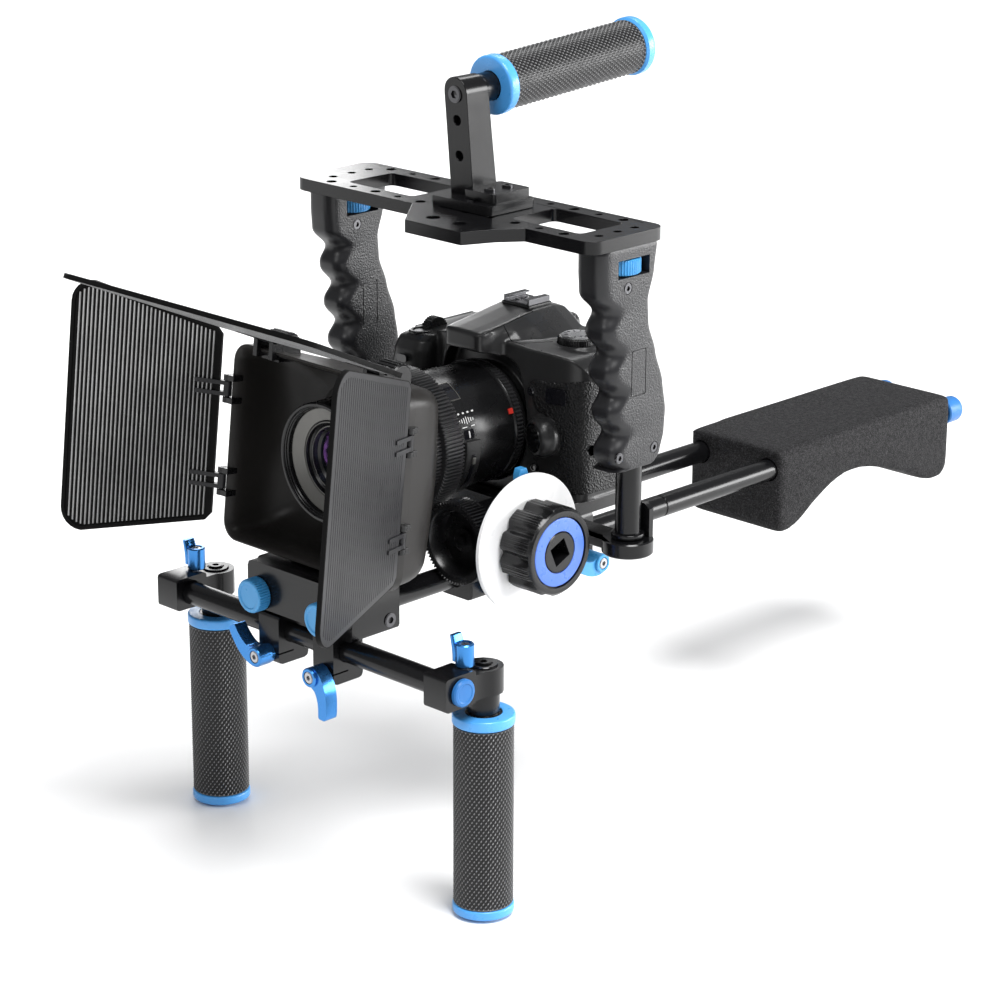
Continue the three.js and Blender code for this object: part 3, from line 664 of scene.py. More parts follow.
def add_clamp_lever(side, x):
    """A round post with a finger blade that rises from it and leans outwards."""
    body = f"clamp_lever_{side}"
    y = BAR_Y + 12.2
    base = BAR_Z + 10.7
    steps = 8
    blade_foot, blade_height = 2.5, 15.2
    post = lathe([(0, 0), (5.2, 0), (5.6, 0.5), (5.6, 13.3), (4.9, 14), (3.7, 14), (3.6, 11.8),
                  (0, 11.8)], 40)
    loops = []
    for i in range(steps + 1):
        t = i / steps
        half = 4.6 - 0.6 * t * t
        out = -4.4 - 3.2 * t ** 1.8
        thick = 1.9 - 0.5 * t
        section = round_rect(out - thick, out + thick, -half, half, 1, 3)
        loops.append(level(section, blade_foot + blade_height * t))
    add(f"clamp_handle_{side}", merged(post, loft(loops)), "blue_metal", body=body,
        replaces=f"clamp_lever_{side}", matrix=at(x, y, base))
    screw(f"clamp_screw_{side}", (x, y, base + 11.6), "+z", 3.4, body, "steel", 1.8)


def add_bracket_levers():
    """The two comma levers in front of the bracket, one turned up and one hanging down."""
    lever_x, lever_z = 24.4, -37.3
    front, thick = BAR_Y - 12.3, 12
    for side, s in SIDES:
        body = f"bracket_lever_{side}"
        turn = math.radians(217) if side == "left" else 0.0
        add(f"bracket_handle_{side}", comma_lever(turn, thick), "blue_metal", body=body,
            replaces=body, matrix=at(s * lever_x, front, lever_z) @ FROM_FRONT, bevel=0.5)
        screw(f"bracket_screw_{side}", (s * lever_x, front - thick + 1.6, lever_z), "-y", 3.5, body,
              "steel", 1.6)


def add_rod_ends():
    """The thumbscrews in front of the rods, and the blue plugs in the rods and the bar."""
    for side, s in SIDES:
        x = s * ROD_X
        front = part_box(f"rod_knob_{side}")[0].y / MM - ORIGIN.y
        add(f"rod_thumbscrew_{side}", ribbed_knob(10.6, 0.5, 40, 9.2), "sky_plastic",
            body=f"rod_knob_{side}", replaces=f"rod_knob_{side}",
            matrix=at(x, front + 9.2, 0) @ ALONG["-y"])
        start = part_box(f"rod_cap_{side}")[0].y / MM - ORIGIN.y
        cap = lathe([(0, 0), (8.6, 0), (9.4, 0.8), (9.4, 13), (8.8, 14.4), (7.6, 15.2), (6.4, 15.2),
                     (5.8, 14.4), (0, 14.2)], 64)
        add(f"rod_plug_{side}", cap, "cap_plastic", replaces=f"rod_cap_{side}",
            matrix=at(x, start, 0) @ ALONG["+y"])
        low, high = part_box(f"cross_bar_cap_{side}")
        direction = "+x" if s > 0 else "-x"
        start = (low.x if s > 0 else high.x) / MM
        cap = lathe([(0, 0), (8.4, 0), (8.4, 2), (7.6, 2.9), (6, 3), (5.4, 2.6), (0, 2.5)], 64)
        add(f"bar_plug_{side}", cap, "cap_plastic", replaces=f"cross_bar_cap_{side}",
            matrix=at(start, BAR_Y, BAR_Z) @ ALONG[direction])


# ------------------------------------------------------------------ matte box and flags

MATTE = at(0, MATTE_Y, MATTE_Z) @ Matrix.Rotation(-MATTE_TILT, 4, "X")      # its own frame
MATTE_HALF = 76.6
MATTE_HEIGHT = 123.0
MATTE_AXIS = 66.8
MATTE_DEPTH = 46.0
HINGE_X = 79.6
HINGE_Y = -3.0
HINGE_TOP = MATTE_HEIGHT + 7.5
FLAG_Z = 70.0
LUG_ROWS = (-35, 23)
TOP_HINGE_X = 48
SIDE_REACH = 103.5
TOP_REACH = 120.0
INNER_FACE = {"left": 1, "right": -1, "top": 1}      # side of each flag that faces the lens
FLAG_THICK = 2.0


def matte_loop(inset, blend, y, radius):
    """A loop that goes from the front rectangle (blend 0) to the round back opening (blend 1)."""
    corner = max(12 - inset, 4)
    outline = round_rect(-MATTE_HALF + inset, MATTE_HALF - inset, inset, MATTE_HEIGHT - inset,
                         corner, 8)
    loop = []
    for start, end in zip(outline, outline[1:] + outline[:1]):
        a, b = Vector(start), Vector(end)
        parts = 6 if (a - b).length > 10 else 1
        for p in (a.lerp(b, k / parts) for k in range(parts)):
            angle = math.atan2(p.y - MATTE_AXIS, p.x)
            target = Vector((radius * math.cos(angle), MATTE_AXIS + radius * math.sin(angle)))
            q = p.lerp(target, blend)
            loop.append((q.x, y, q.y))
    return loop


def matte_hinge_lugs():
    """Pairs of ears with round knuckles, two on each side and two on the top."""
    knuckle = cylinder(2.9, -1.8, 1.8, 20)
    lugs = []
    for s in (-1, 1):
        x0, x1 = sorted((s * (HINGE_X - 7), s * (HINGE_X + 1)))
        for z in (FLAG_Z + row + offset for row in LUG_ROWS for offset in (-7, 7)):
            lugs.append(block(x0, x1, HINGE_Y - 2.2, 3, z - 1.8, z + 1.8))
            lugs.append(moved(knuckle, at(s * HINGE_X, HINGE_Y, z)))
        for x in (s * TOP_HINGE_X + offset for offset in (-7, 7)):
            lugs.append(block(x - 1.8, x + 1.8, HINGE_Y - 2.2, 3, MATTE_HEIGHT - 5, HINGE_TOP + 1))
            lugs.append(moved(knuckle, at(x, HINGE_Y, HINGE_TOP) @ ALONG["+x"]))
    return merged(*lugs)


def add_matte_box():
    """The box's thin shell, its hinges, the ring round the lens and the stem below."""
    wall = 2.6
    outer_back, inner_back = 49, 46                # radii of the round opening at the back
    outer = [matte_loop(0, 0, y, outer_back) for y in (-2, 3.5)]
    inner = []
    steps = 12
    for i in range(steps + 1):
        t = i / steps
        y = 4 + (MATTE_DEPTH - 4) * t
        blend = 0.12 * t + 0.88 * t ** 4
        outer.append(matte_loop(1.6, blend, y, outer_back))
        inner.append(matte_loop(1.6 + wall, blend, y - (1.2 if t > 0.9 else 0), inner_back))
    mouth = [matte_loop(2.2, 0, -1.2, inner_back), matte_loop(0.9, 0, -2.2, inner_back)]
    add("matte_shell", closed_tube(outer + inner[::-1] + mouth), "matte_black_plastic",
        replaces="matte_box", matrix=MATTE, angle=math.radians(40))
    add("matte_hinge_lugs", matte_hinge_lugs(), "black_plastic",
        matrix=MATTE, bevel=0.3)
    add("matte_back_ring", turned_ring([(46.6, 0), (39.4, 0), (39.4, 2.4), (46.6, 2.4)], 96),
        "matte_black_plastic", matrix=MATTE @ at(0, MATTE_DEPTH - 4.5, MATTE_AXIS) @ ALONG["+y"])
    stem = prism([(6, -1), (38, 2.4), (38, 9), (22, 4), (6, 2.2)], -24, 24)
    add("matte_stem", moved(stem, ALONG["+x"]), "matte_black_plastic", matrix=MATTE, bevel=0.6)
    rib = block(7.6, 9, -0.7, 0.7, -7.6, 7.6)
    housing = moved(merged(
        lathe([(0, -9), (7.4, -9), (8.4, -8), (8.4, 8), (7.4, 9), (0, 9)], 40),
        *[moved(rib, turned(TAU * k / 20)) for k in range(20)]), ALONG["+x"])
    for side, s in SIDES:
        x = s * TOP_HINGE_X
        add(f"matte_hinge_housing_{side}", housing, "black_plastic",
            matrix=MATTE @ at(x, 10, MATTE_HEIGHT + 2), bevel=0.2)
        add(f"matte_hinge_saddle_{side}", block(-8, 8, 0, 18, -8, 0), "black_plastic",
            matrix=MATTE @ at(x, 1, MATTE_HEIGHT + 1), bevel=0.8)


def flag_outline(inner, outer, reach, low=5.0, corner=14.0):
    """A flag's edge in its own frame: first number along the hinge, second away from it."""
    slope = (outer - inner) / (reach - low)
    along, away = outer - corner - 1, reach - corner
    points = [(-inner + 4, low), (inner - 4, low), (inner + slope * 4, low + 4)]
    for side, first in ((1, 0), (-1, 90)):
        for angle in (math.radians(first + 15 * i) for i in range(7)):
            points.append((side * along + corner * math.cos(angle), away + corner * math.sin(angle)))
    points.append((-inner - slope * 4, low + 4))
    return points


def half_width(outline, r):
    """How far a flag reaches along its hinge, at a distance r from the hinge."""
    widest = 0.0
    for (u0, r0), (u1, r1) in zip(outline, outline[1:] + outline[:1]):
        if min(r0, r1) <= r <= max(r0, r1) and abs(r1 - r0) > 1e-9 and max(u0, u1) > 0:
            widest = max(widest, u0 + (u1 - u0) * (r - r0) / (r1 - r0))
    return widest


def flag_ribs(outline, reach, count, height, face):
    """Ribs along the hinge on one face of a flag (1 or -1)."""
    start, end = 9.0, reach - 4.0
    pitch = (end - start) / count
    base = face * FLAG_THICK / 2 * 0.96
    top = face * (FLAG_THICK / 2 + height)
    foot, crest = pitch * 0.17, pitch * 0.11
    parts = []
    for k in range(count):
        r = start + (k + 0.5) * pitch
        half = half_width(outline, r + pitch / 2) - 4
        section = [(r - foot, base), (r + foot, base), (r + crest, top), (r - crest, top)]
        parts.append(loft([[(u, a, b) for a, b in section] for u in (-half, half)]))
    return merged(*parts)


def flag_shape(outline):
    """A flag with a raised rim."""
    half = FLAG_THICK / 2
    rim = prism(outline, half * 0.9, half + 0.9, [offset_loop(outline, 2.4)])
    return merged(prism(outline, -half, half), rim)


def flag_knuckles(knuckles):
    """Two long prongs on a pin at each hinge."""
    parts = []
    for u in knuckles:
        spot = at(u, 0, 0) @ ALONG["+x"]
        parts += [moved(cylinder(1.5, -8.6, 8.6, 16), spot), moved(cylinder(2.7, -4.7, 4.7, 20), spot),
                  block(u - 4.7, u - 2.1, 0, 21, -2.2, 2.4), block(u + 2.1, u + 4.7, 0, 21, -2.2, 2.4)]
    return merged(*parts)


def add_flags():
    opened = {"left": math.radians(30), "right": math.radians(69), "top": math.radians(17.5)}
    for side, s in SIDES:
        turn = -s * opened[side] + (0 if s > 0 else math.pi)
        hinge = MATTE @ at(s * HINGE_X, HINGE_Y, FLAG_Z) @ turned(turn) @ ALONG["+y"]
        add_flag(side, hinge, flag_outline(60, 80, SIDE_REACH), SIDE_REACH, LUG_ROWS, 33)
    hinge = MATTE @ at(0, HINGE_Y, HINGE_TOP) @ Matrix.Rotation(math.pi - opened["top"], 4, "X")
    add_flag("top", hinge, flag_outline(77, 110, TOP_REACH), TOP_REACH, (-TOP_HINGE_X, TOP_HINGE_X), 40)


def add_flag(side, hinge, outline, reach, knuckles, count):
    """One flag: ribs painted light grey as a highlight on the face towards the lens, fine low ribs on the other.
    """
    body = f"flag_{side}"
    face = INNER_FACE[side]
    facing = hinge @ Matrix.Diagonal((1, 1, face, 1))
    add(f"flag_panel_{side}", flag_shape(outline), "flag_core", body=body, replaces=body,
        matrix=facing)
    add(f"flag_hinge_{side}", flag_knuckles(knuckles), "flag_plastic", body=body, matrix=facing,
        bevel=0.3)
    low, high = sorted((-face * 1.12, -face * 0.8 * 1.12))
    add(f"flag_outer_{side}", prism(offset_loop(outline, 0.6), low, high), "flag_plastic",
        body=body, matrix=hinge)
    # These ribs carry the painted highlight.
    add(f"flag_ribs_{side}", flag_ribs(outline, reach, count, 0.9, face), "rib_highlight", body=body,
        matrix=hinge)
    add(f"flag_lines_{side}", flag_ribs(outline, reach, count, 0.3, -face), "flag_plastic",
        body=body, matrix=hinge)


# ------------------------------------------------------------------ follow focus

DISC_X = 77.3
KNOB_X = 81.1
KNOB_LENGTH = 25.9
GEAR_Y = -138.0


def add_follow_focus():
    spot = at(0, FOCUS_Y, FOCUS_Z)
    disc = turned_ring([(4.4, 0), (42.4, 0), (43, 0.6), (43, 2.9), (42.4, 3.5), (4.4, 3.5)], 128)
    add("marking_disc", disc, "white_disc", body="focus_knob", replaces="focus_disc",
        matrix=spot @ at(DISC_X, 0, 0) @ ALONG["+x"])
    add_focus_wheel(spot)
    add_gear()
    low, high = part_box("focus_clamp_knob")
    middle = (low + high) / 2 / MM - ORIGIN
    add("focus_clamp_wheel", ribbed_knob(9.2, 0.6, 28, 11), "blue_metal", body="focus_clamp_knob",
        replaces="focus_clamp_knob", matrix=at(46.3, middle.y, middle.z) @ ALONG["+x"])
    pointer = prism([(-4, 0), (4, 0), (4, 13), (2.6, 16.5), (-2.6, 16.5), (-4, 13)], 0, 5.5)
    pointer_y, pointer_z = FOCUS_Y + 1, FOCUS_Z + 29
    add("focus_pointer", pointer, "sky_plastic", matrix=at(69.5, pointer_y, pointer_z) @ ALONG["+x"],
        bevel=0.6)
    arm = prism([(-3, -16), (3, -16), (3, 6), (-3, 6)], 0, 2.5)
    add("focus_pointer_arm", arm, "black_metal", matrix=at(67, pointer_y, pointer_z) @ ALONG["+x"],
        bevel=0.4)


def add_focus_wheel(spot):
    """The hand wheel: ten finger hollows, fine ribs between them and a square crank socket."""
    count, hollows, ribs = 400, 10, 100
    outline = []
    for i in range(count):
        angle = TAU * i / count
        dip = max(0.0, math.cos(hollows * angle)) ** 1.5
        rib = 0.28 * (math.cos(angle * ribs) > 0) if dip < 0.05 else 0.0
        reach = 27.6 - 3.2 * dip + rib
        outline.append((reach * math.cos(angle), reach * math.sin(angle)))
    smooth = circle(0, 0, 26.6, count)
    loops = [level(outline, 0, 0.93)]
    loops += [level(outline, z) for z in (1.4, 8, 16, KNOB_LENGTH - 3.4)]
    loops.append(level(outline, KNOB_LENGTH - 2.2, 0.985))
    for scale, z in ((1, 1.6), (0.985, 0.7), (0.96, 0.1), (0.9, 0), (0.84, 0.2), (0.83, 2.4)):
        loops.append(level(smooth, KNOB_LENGTH - z, scale))
    wheel = add("focus_wheel", loft(loops), "black_plastic", body="focus_knob",
                replaces="focus_knob", matrix=spot @ at(KNOB_X, 0, 0) @ ALONG["+x"])
    boss = lathe([(0, -1), (12.6, -1), (12.6, 1.4), (12.2, 1.9), (0, 1.9)], 64)
    face = spot @ at(KNOB_X + KNOB_LENGTH - 2.4, 0, 0) @ ALONG["+x"]
    hub = add("focus_wheel_hub", boss, "black_plastic", body="focus_knob", matrix=face)
    socket = [(y, x) for x, y in circle(0, 0, 9.1, 4, math.radians(21))]
    boolean(hub, [prism(socket, -20, 5)], face)
    boolean(wheel, [prism(socket, -12, 5)], face)
    add("focus_wheel_band", soft_ring(21.4, 13.2, -0.4, 1.7, 0.5, 96), "ring_blue",
        body="focus_knob", replaces="focus_knob_ring", matrix=face)


def add_gear():
    """A cupped gear on a short shaft."""
    low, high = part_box("drive_gear")
    centre = ((low.x + high.x) / 2 / MM, GEAR_Y, (low.z + high.z) / 2 / MM - ORIGIN.z)
    teeth = gear_outline(26.2, 1.5, 68)
    bowl = circle(0, 0, 20.6, len(teeth))
    half = 7.0
    cup = closed_tube([
        level(teeth, -half, 0.985), level(teeth, -half + 0.4), level(teeth, half - 0.4),
        level(teeth, half, 0.985), level(bowl, half, 1.04), level(bowl, half - 1),
        level(bowl, -half + 3, 0.9), level(bowl, -half + 3, 0.3), level(bowl, -half, 0.3)])
    shaft = lathe([(0, -half - 14), (4, -half - 14), (4, -half + 4), (7.5, -half + 4.4),
                   (7.5, -half + 6), (0, -half + 6)], 32)
    add("gear_wheel", merged(cup, shaft), "black_plastic", body="drive_gear",
        replaces="drive_gear", matrix=at(*centre) @ ALONG["-y"])
    screw("gear_screw", (centre[0], GEAR_Y - 1, centre[2]), "-y", 4.2, "drive_gear", "black_metal", 1.4)


# ------------------------------------------------------------------ cage

CAGE_HALF = 128.5
CAGE_FRONT = -110.0
CAGE_BACK = -45.0
CAGE_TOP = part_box("top_plate")[1].z / MM - ORIGIN.z
CAGE_THICK = 8.0
GRIP_INNER = 104.5
GRIP_OUTER = 128.0
GRIP_BOTTOM = 78.0
POST_X = 114
POST_Y = -59
WHEEL_X = 116.3
WHEEL_Y = -73.0
WHEEL_Z = 203.0


def add_top_plate():
    """The cage's top: a tab at the front, two windows, and rows of large and small holes."""
    half, front, back = CAGE_HALF, CAGE_FRONT, CAGE_BACK
    corner = round_rect(-half, half, front, back, 9)
    steps = len(corner) // 4
    outline = corner[:3 * steps]
    outline += [(-20.6, front), (8, front - 34), (55, front - 34), (64, front - 14), (74.9, front)]
    outline += corner[3 * steps:]
    holes = [round_rect(a, b, front + 13, back - 14, 4) for a, b in ((-92, -34), (50, 107))]
    for i in range(11):
        x = -100 + 20 * i
        radius = 3.2 if i % 2 == 0 else 2.3
        holes.append(circle(x, back - 7, radius, 20))
        holes.append(circle(x, front + 6.5, radius, 20))
    for x in (-110, 118):
        holes += [circle(x, front + y, 2.6, 20) for y in (17, 33, 48)]
    holes += [circle(x, front - 18, 4.4, 24) for x in (16, 38)]
    add("cage_plate", prism(outline, CAGE_TOP - CAGE_THICK, CAGE_TOP, holes), "black_metal",
        replaces="top_plate", bevel=0.45)


FINGER_GROOVES = 4
GROOVE_PITCH = 25.4
GROOVE_START = 189.6
GRIP_SCREWS = ((-78.1, 191), (-52.3, 88.1), (-83, 87.6))    # (y, z) on each face


def grip_section(z, half_x, middle_x):
    """One level of a cage grip: flat outer faces, a rounded nose with finger grooves."""
    back_curve = ((78, -50), (84, -44.5), (96, -41), (110, -40), (128, -43), (148, -50), (166, -56.5),
                  (181, -57.5), (198, -52.5), (216, -50))
    nose_curve = ((78, -87), (88, -86), (113, -88), (138.5, -91), (164, -94), (189.6, -100.2),
                  (202, -101), (216, -101))
    back = along_curve(back_curve, z)
    nose = along_curve(nose_curve, z)
    phase = (GROOVE_START - z) / GROOVE_PITCH
    groove = 0.0
    if 0 < phase < FINGER_GROOVES + 0.35:
        groove = (0.5 - 0.5 * math.cos(TAU * phase)) ** 1.25
    front = nose + 5.6 * groove
    nose_radius = 7.5 + 3.6 * groove
    outline = []
    corners = ((half_x, back, 4.5), (-half_x, back, 4.5), (-half_x, front, nose_radius),
               (half_x, front, nose_radius))
    steps = 9
    for quarter, (x, y, radius) in enumerate(corners):
        cx = x - math.copysign(radius, x)
        cy = y - radius if quarter < 2 else y + radius * 1.25
        stretch = 1.0 if quarter < 2 else 1.25
        for i in range(steps + 1):
            angle = (quarter + i / steps) * math.pi / 2
            outline.append((cx + radius * math.cos(angle), cy + radius * stretch * math.sin(angle)))
    return [(middle_x + x, y, z) for x, y in outline]


def along_curve(points, z):
    """Smooth interpolation of (z, value) pairs."""
    for (z0, v0), (z1, v1) in zip(points, points[1:]):
        if z <= z1:
            t = max(0.0, (z - z0) / (z1 - z0))
            return v0 + (v1 - v0) * (3 * t * t - 2 * t ** 3) * 0.5 + (v1 - v0) * t * 0.5
    return points[-1][1]


def add_cage_grips():
    half = (GRIP_OUTER - GRIP_INNER) / 2
    for side, s in SIDES:
        middle = s * (GRIP_INNER + GRIP_OUTER) / 2
        grip = add(f"cage_handle_{side}", cage_grip(half, middle), "grip_plastic",
                   replaces=f"cage_grip_{side}")
        boolean(grip, grip_cuts(s, half, middle))
        add_thumbwheel(side, s)
        for face, direction in ((-1, "-x"), (1, "+x")):
            x = middle + face * (half - 1.1)
            for k, (y, z) in enumerate(GRIP_SCREWS):
                name = f"grip_screw_{side}_{k}_{'outer' if face == s else 'inner'}"
                screw(name, (x, y, z), direction, 3.3, "root", "dark_steel", 1.3)


def cage_grip(half, middle):
    top = CAGE_TOP - CAGE_THICK - 0.3
    levels = 110
    loops = []
    for i in range(levels + 1):
        section = grip_section(GRIP_BOTTOM + (top - GRIP_BOTTOM) * i / levels, half, middle)
        shrink = {0: 0.94, levels: 0.97}.get(i, 1.0)
        centre = sum((Vector(p) for p in section), Vector()) / len(section)
        loops.append([centre + (Vector(p) - centre) * shrink for p in section])
    return loft(loops)


def grip_cuts(s, half, middle):
    """The wheel's slot, the post's bore, and a fine frame and three screw seats on each face."""
    slot = 13.6
    cuts = [block(middle - 14, middle + 14, WHEEL_Y - slot, WHEEL_Y + slot, WHEEL_Z - 5.5,
                  WHEEL_Z + 5.5),
            moved(cylinder(8.3, 0, 26, 40), at(s * POST_X, POST_Y, GRIP_BOTTOM - 2))]
    seat = lathe([(0, -1.1), (3.5, -1.1), (3.9, 1), (0, 1)], 28)
    for face, direction in ((-1, "-x"), (1, "+x")):
        x = middle + face * half
        mark = prism(round_rect(-73.6, -60.8, 123.5, 152, 0.8, 2), x - 0.5, x + 0.5,
                     [round_rect(-73, -61.4, 124.1, 151.4, 0.6, 2)])
        cuts.append(moved(mark, ALONG["+x"]))
        cuts += [moved(seat, at(x, y, z) @ ALONG[direction]) for y, z in GRIP_SCREWS]
    return cuts


def add_thumbwheel(side, s):
    wheel = gear_outline(12.9, 0.7, 44)
    rim = circle(0, 0, 12.2, len(wheel))
    tread = loft([level(rim, 0, 0.9), level(rim, 0.3), level(wheel, 0.9), level(wheel, 8.7),
                  level(rim, 9.3), level(rim, 9.6, 0.9)])
    add(f"cage_thumbwheel_{side}", tread, "sky_plastic", body=f"cage_wheel_{side}",
        replaces=f"cage_wheel_{side}", matrix=at(s * WHEEL_X, WHEEL_Y, WHEEL_Z - 4.8))


BRACKET_FACE = 41.0


def add_base_details():
    y, z = base_lever_axis()
    add("base_handle", comma_lever(math.radians(232), 14.5), "sky_plastic", body="base_lever",
        replaces="base_lever", matrix=at(45.6, y, z) @ ALONG["+x"], bevel=0.5)
    screw("base_screw", (58.6, y, z), "+x", 3.4, "base_lever", "steel", 1.6)
    screw("bracket_lug_screw", (BRACKET_FACE - 0.3, -190, -9.6), "+x", 4.4, "root", "dark_steel", 1.2)
    for side, s in SIDES:
        add(f"post_collar_{side}", soft_ring(10.2, 8.05, 0, 3.2, 0.8, 48), "black_metal",
            matrix=at(s * POST_X, POST_Y, 29.6))


def base_lever_axis():
    """(y, z) of the base lever's turning axis, from the joint in the record."""
    for joint in frame["joints"]:
        if joint["name"] == "base_lever_turn":
            place = Vector(joint["pos_m"]) / MM - ORIGIN
            return place.y, place.z
    raise ValueError("the record has no base lever joint")


# ------------------------------------------------------------------ top handle

TOP_GRIP = at(5, -69, 293.5) @ Matrix.Rotation(math.radians(4), 4, "X") @ ALONG["+y"]
TOP_GRIP_LENGTH = 123.0
ARM_X = 4.5


def add_top_handle():
    add("top_collar_front", soft_ring(18.5, 9.3, 0, 8, 1.8), "blue_plastic",
        replaces="top_grip_ring", matrix=TOP_GRIP)
    add("top_sleeve", knurled_sleeve(17.4, 9.3, 8.3, TOP_GRIP_LENGTH - 0.3, 38),
        knurl_painted_highlight_look("knurl_top", TOP_GRIP, 17.4), replaces="top_grip_rubber",
        matrix=TOP_GRIP, angle=KNURL_ANGLE)
    cap = lathe([(9.3, 0), (17, 0), (18.5, 1.4), (18.5, 6), (17.9, 7.2), (16.4, 8), (14, 8),
                 (13.2, 7.2), (0, 6.6), (0, 5.5), (9.3, 5)], 72)
    add("top_collar_back", cap, "blue_plastic", replaces="top_grip_cap",
        matrix=TOP_GRIP @ at(0, 0, TOP_GRIP_LENGTH))
    add_top_arm()


def add_top_arm():
    """A leaning arm with a round head on a stepped foot."""
    foot = CAGE_TOP + 0.3
    slab_top = foot + 6
    flange_top = foot + 12
    head_z = 293.1
    half = 9.5
    profile = [(-92, foot + 2), (-71, foot + 2), (-80.5, head_z + half), (-99, head_z + half)]
    arm = add("arm_body", moved(prism(profile, ARM_X - half, ARM_X + half), ALONG["+x"]),
              "black_metal", replaces="top_arm")
    front = [(ARM_X - half, foot), (ARM_X + half, foot)]
    front += [(ARM_X + half * math.cos(a), head_z + half * math.sin(a))
              for a in (math.pi * i / 24 for i in range(25))]
    boolean(arm, [moved(prism(front, 60, 110), FROM_FRONT)], operation="INTERSECT")
    hole = cylinder(3, 60, 110, 32)
    boolean(arm, [moved(hole, at(ARM_X, 0, z) @ ALONG["-y"]) for z in (254, 276)])
    add_bevel(arm, 0.8)
    slab = prism(round_rect(-10, 40, -105, -65, 3), foot, slab_top)
    add("arm_foot", slab, "black_metal", bevel=0.8)
    flange = prism(round_rect(ARM_X + half - 2, 38, -99, -67, 2.5), slab_top - 0.5, flange_top)
    add("arm_flange", flange, "black_metal", bevel=1.0)
    screw("arm_screw", (ARM_X, -97.6, 292), "-y", 5.2, "root", "dark_steel", 1.6)
    for k, (x, y, z) in enumerate(((-5, -74, slab_top), (22, -102, slab_top), (27, -76, flange_top),
                                   (27, -91, flange_top))):
        screw(f"foot_screw_{k}", (x, y, z - 0.6), "+z", 3.6 if z > slab_top else 2.6, "root",
              "dark_steel", 2)


# ------------------------------------------------------------------ shoulder pad

PAD_HALF = 41.0
PAD_VOXEL = 2.0


def add_shoulder_pad():
    corners = [(177.2, 11), (181, 15), (270, 15.6), (364, 15.6), (370.5, 11), (371, -18), (370.5, -37),
               (364, -44.6), (347, -43.8), (322, -33), (290, -22), (265, -17.5), (244, -19.5),
               (222, -29), (204, -40), (192, -44.6), (182, -45), (177.6, -40), (177, -18)]
    outline = smooth_loop(corners, 8)
    block_shape = moved(prism(outline, -PAD_HALF, PAD_HALF), ALONG["+x"])
    pad = add("shoulder_foam", block_shape, "foam", body="shoulder_pad", replaces="shoulder_pad",
              angle=math.radians(60))
    remeshed(pad, PAD_VOXEL, 34)
    bore = cylinder(8.2, 0, 230, 40)
    boolean(pad, [moved(bore, at(s * ROD_X, 160, 0) @ ALONG["+y"]) for _, s in SIDES])


# ------------------------------------------------------------------ lens

LENS = at(0, 0, LENS_Z) @ ALONG["-y"]          # Z runs forward along the lens, from y = 0
BARREL = 38.5                                  # radius that its marks and patches start from


def on_barrel(radius, forward, degrees, length, width, lift):
    """A small raised patch on the lens barrel, `forward` mm in front of y = 0."""
    steps = 6
    half = width / radius / 2
    loops = []
    middle = math.radians(degrees)
    for z in (forward - length / 2, forward + length / 2):
        inner = [(radius - 0.6, middle - half + 2 * half * i / steps) for i in range(steps + 1)]
        outer = [(radius + lift, middle + half - 2 * half * i / steps) for i in range(steps + 1)]
        loops.append([(r * math.cos(a), r * math.sin(a), z) for r, a in inner + outer])
    return loft(loops)


def add_lens():
    barrel = lathe([
        (0, 66.3), (36, 66.3), (36, 69), (38.2, 69.6), (38.2, 71), (37.6, 71.3), (37.6, 77.6),
        (38.6, 78), (38.9, 78.6), (38.6, 79.2), (38, 79.8), (37.6, 95), (38.3, 99), (38.3, 117),
        (38.7, 117.6), (38.7, 129), (37.8, 130), (37.8, 168.6), (38.6, 169.6), (38.6, 178),
        (37.2, 179), (36.6, 190), (37.4, 192), (37.4, 204.8), (36.6, 206), (35.2, 206),
        (34.7, 205.4), (34.7, 204.6), (34.2, 204.2), (34.2, 203.2), (33.6, 202.6)], 128)
    cup = lathe([(33.6, 202.6), (33.2, 199.6), (24.8, 196.4), (24.2, 197.4), (23.4, 197.4), (23, 195),
                 (21.6, 193.6), (21.2, 194.6), (20.4, 194.6), (19.8, 191.4), (18.4, 190.2), (17.8, 187),
                 (0, 187)], 128)
    add("lens_tube", merged(barrel, cup), "black_plastic", replaces="lens_barrel", matrix=LENS)
    cone = turned_ring([(33.1, 199.2), (33.1, 200.2), (32.6, 200.3), (25.2, 197.3), (24.9, 196.4)], 128)
    add("lens_name_ring", cone, "lens_grey", matrix=LENS)
    for k, (radius, z) in enumerate(((23.9, 197.5), (20.8, 194.7))):
        lip = soft_ring(radius + 0.25, radius - 0.35, z - 0.4, z + 0.15, 0.2, 128)
        add(f"lens_lip_{k}", lip, "lens_grey", matrix=LENS)
    steps = 12
    dome = [(0, 186.5), (18.2, 186.5)]
    for turn in (math.pi / 2 * i / steps for i in range(1, steps)):
        dome.append((18.2 * math.cos(turn), 187.6 + 4.6 * math.sin(turn)))
    dome.append((0, 187.6 + 4.6))
    add("lens_front_element", lathe(dome, 96), "glass", replaces="front_glass", matrix=LENS)

    ribs = gear_outline(38.4, 0.7, 96)
    mount_ring = closed_tube([level(ribs, 71.6, 0.95), level(ribs, 72), level(ribs, 77.2),
                              level(ribs, 77.6, 0.95)])
    add("lens_mount_ring", mount_ring, "rubber", matrix=LENS)
    add("lens_index", on_barrel(38.8, 81.5, 22, 3.6, 3.4, 0.25), "red_mark", matrix=LENS)
    add_lens_marks()
    add_focus_belt()


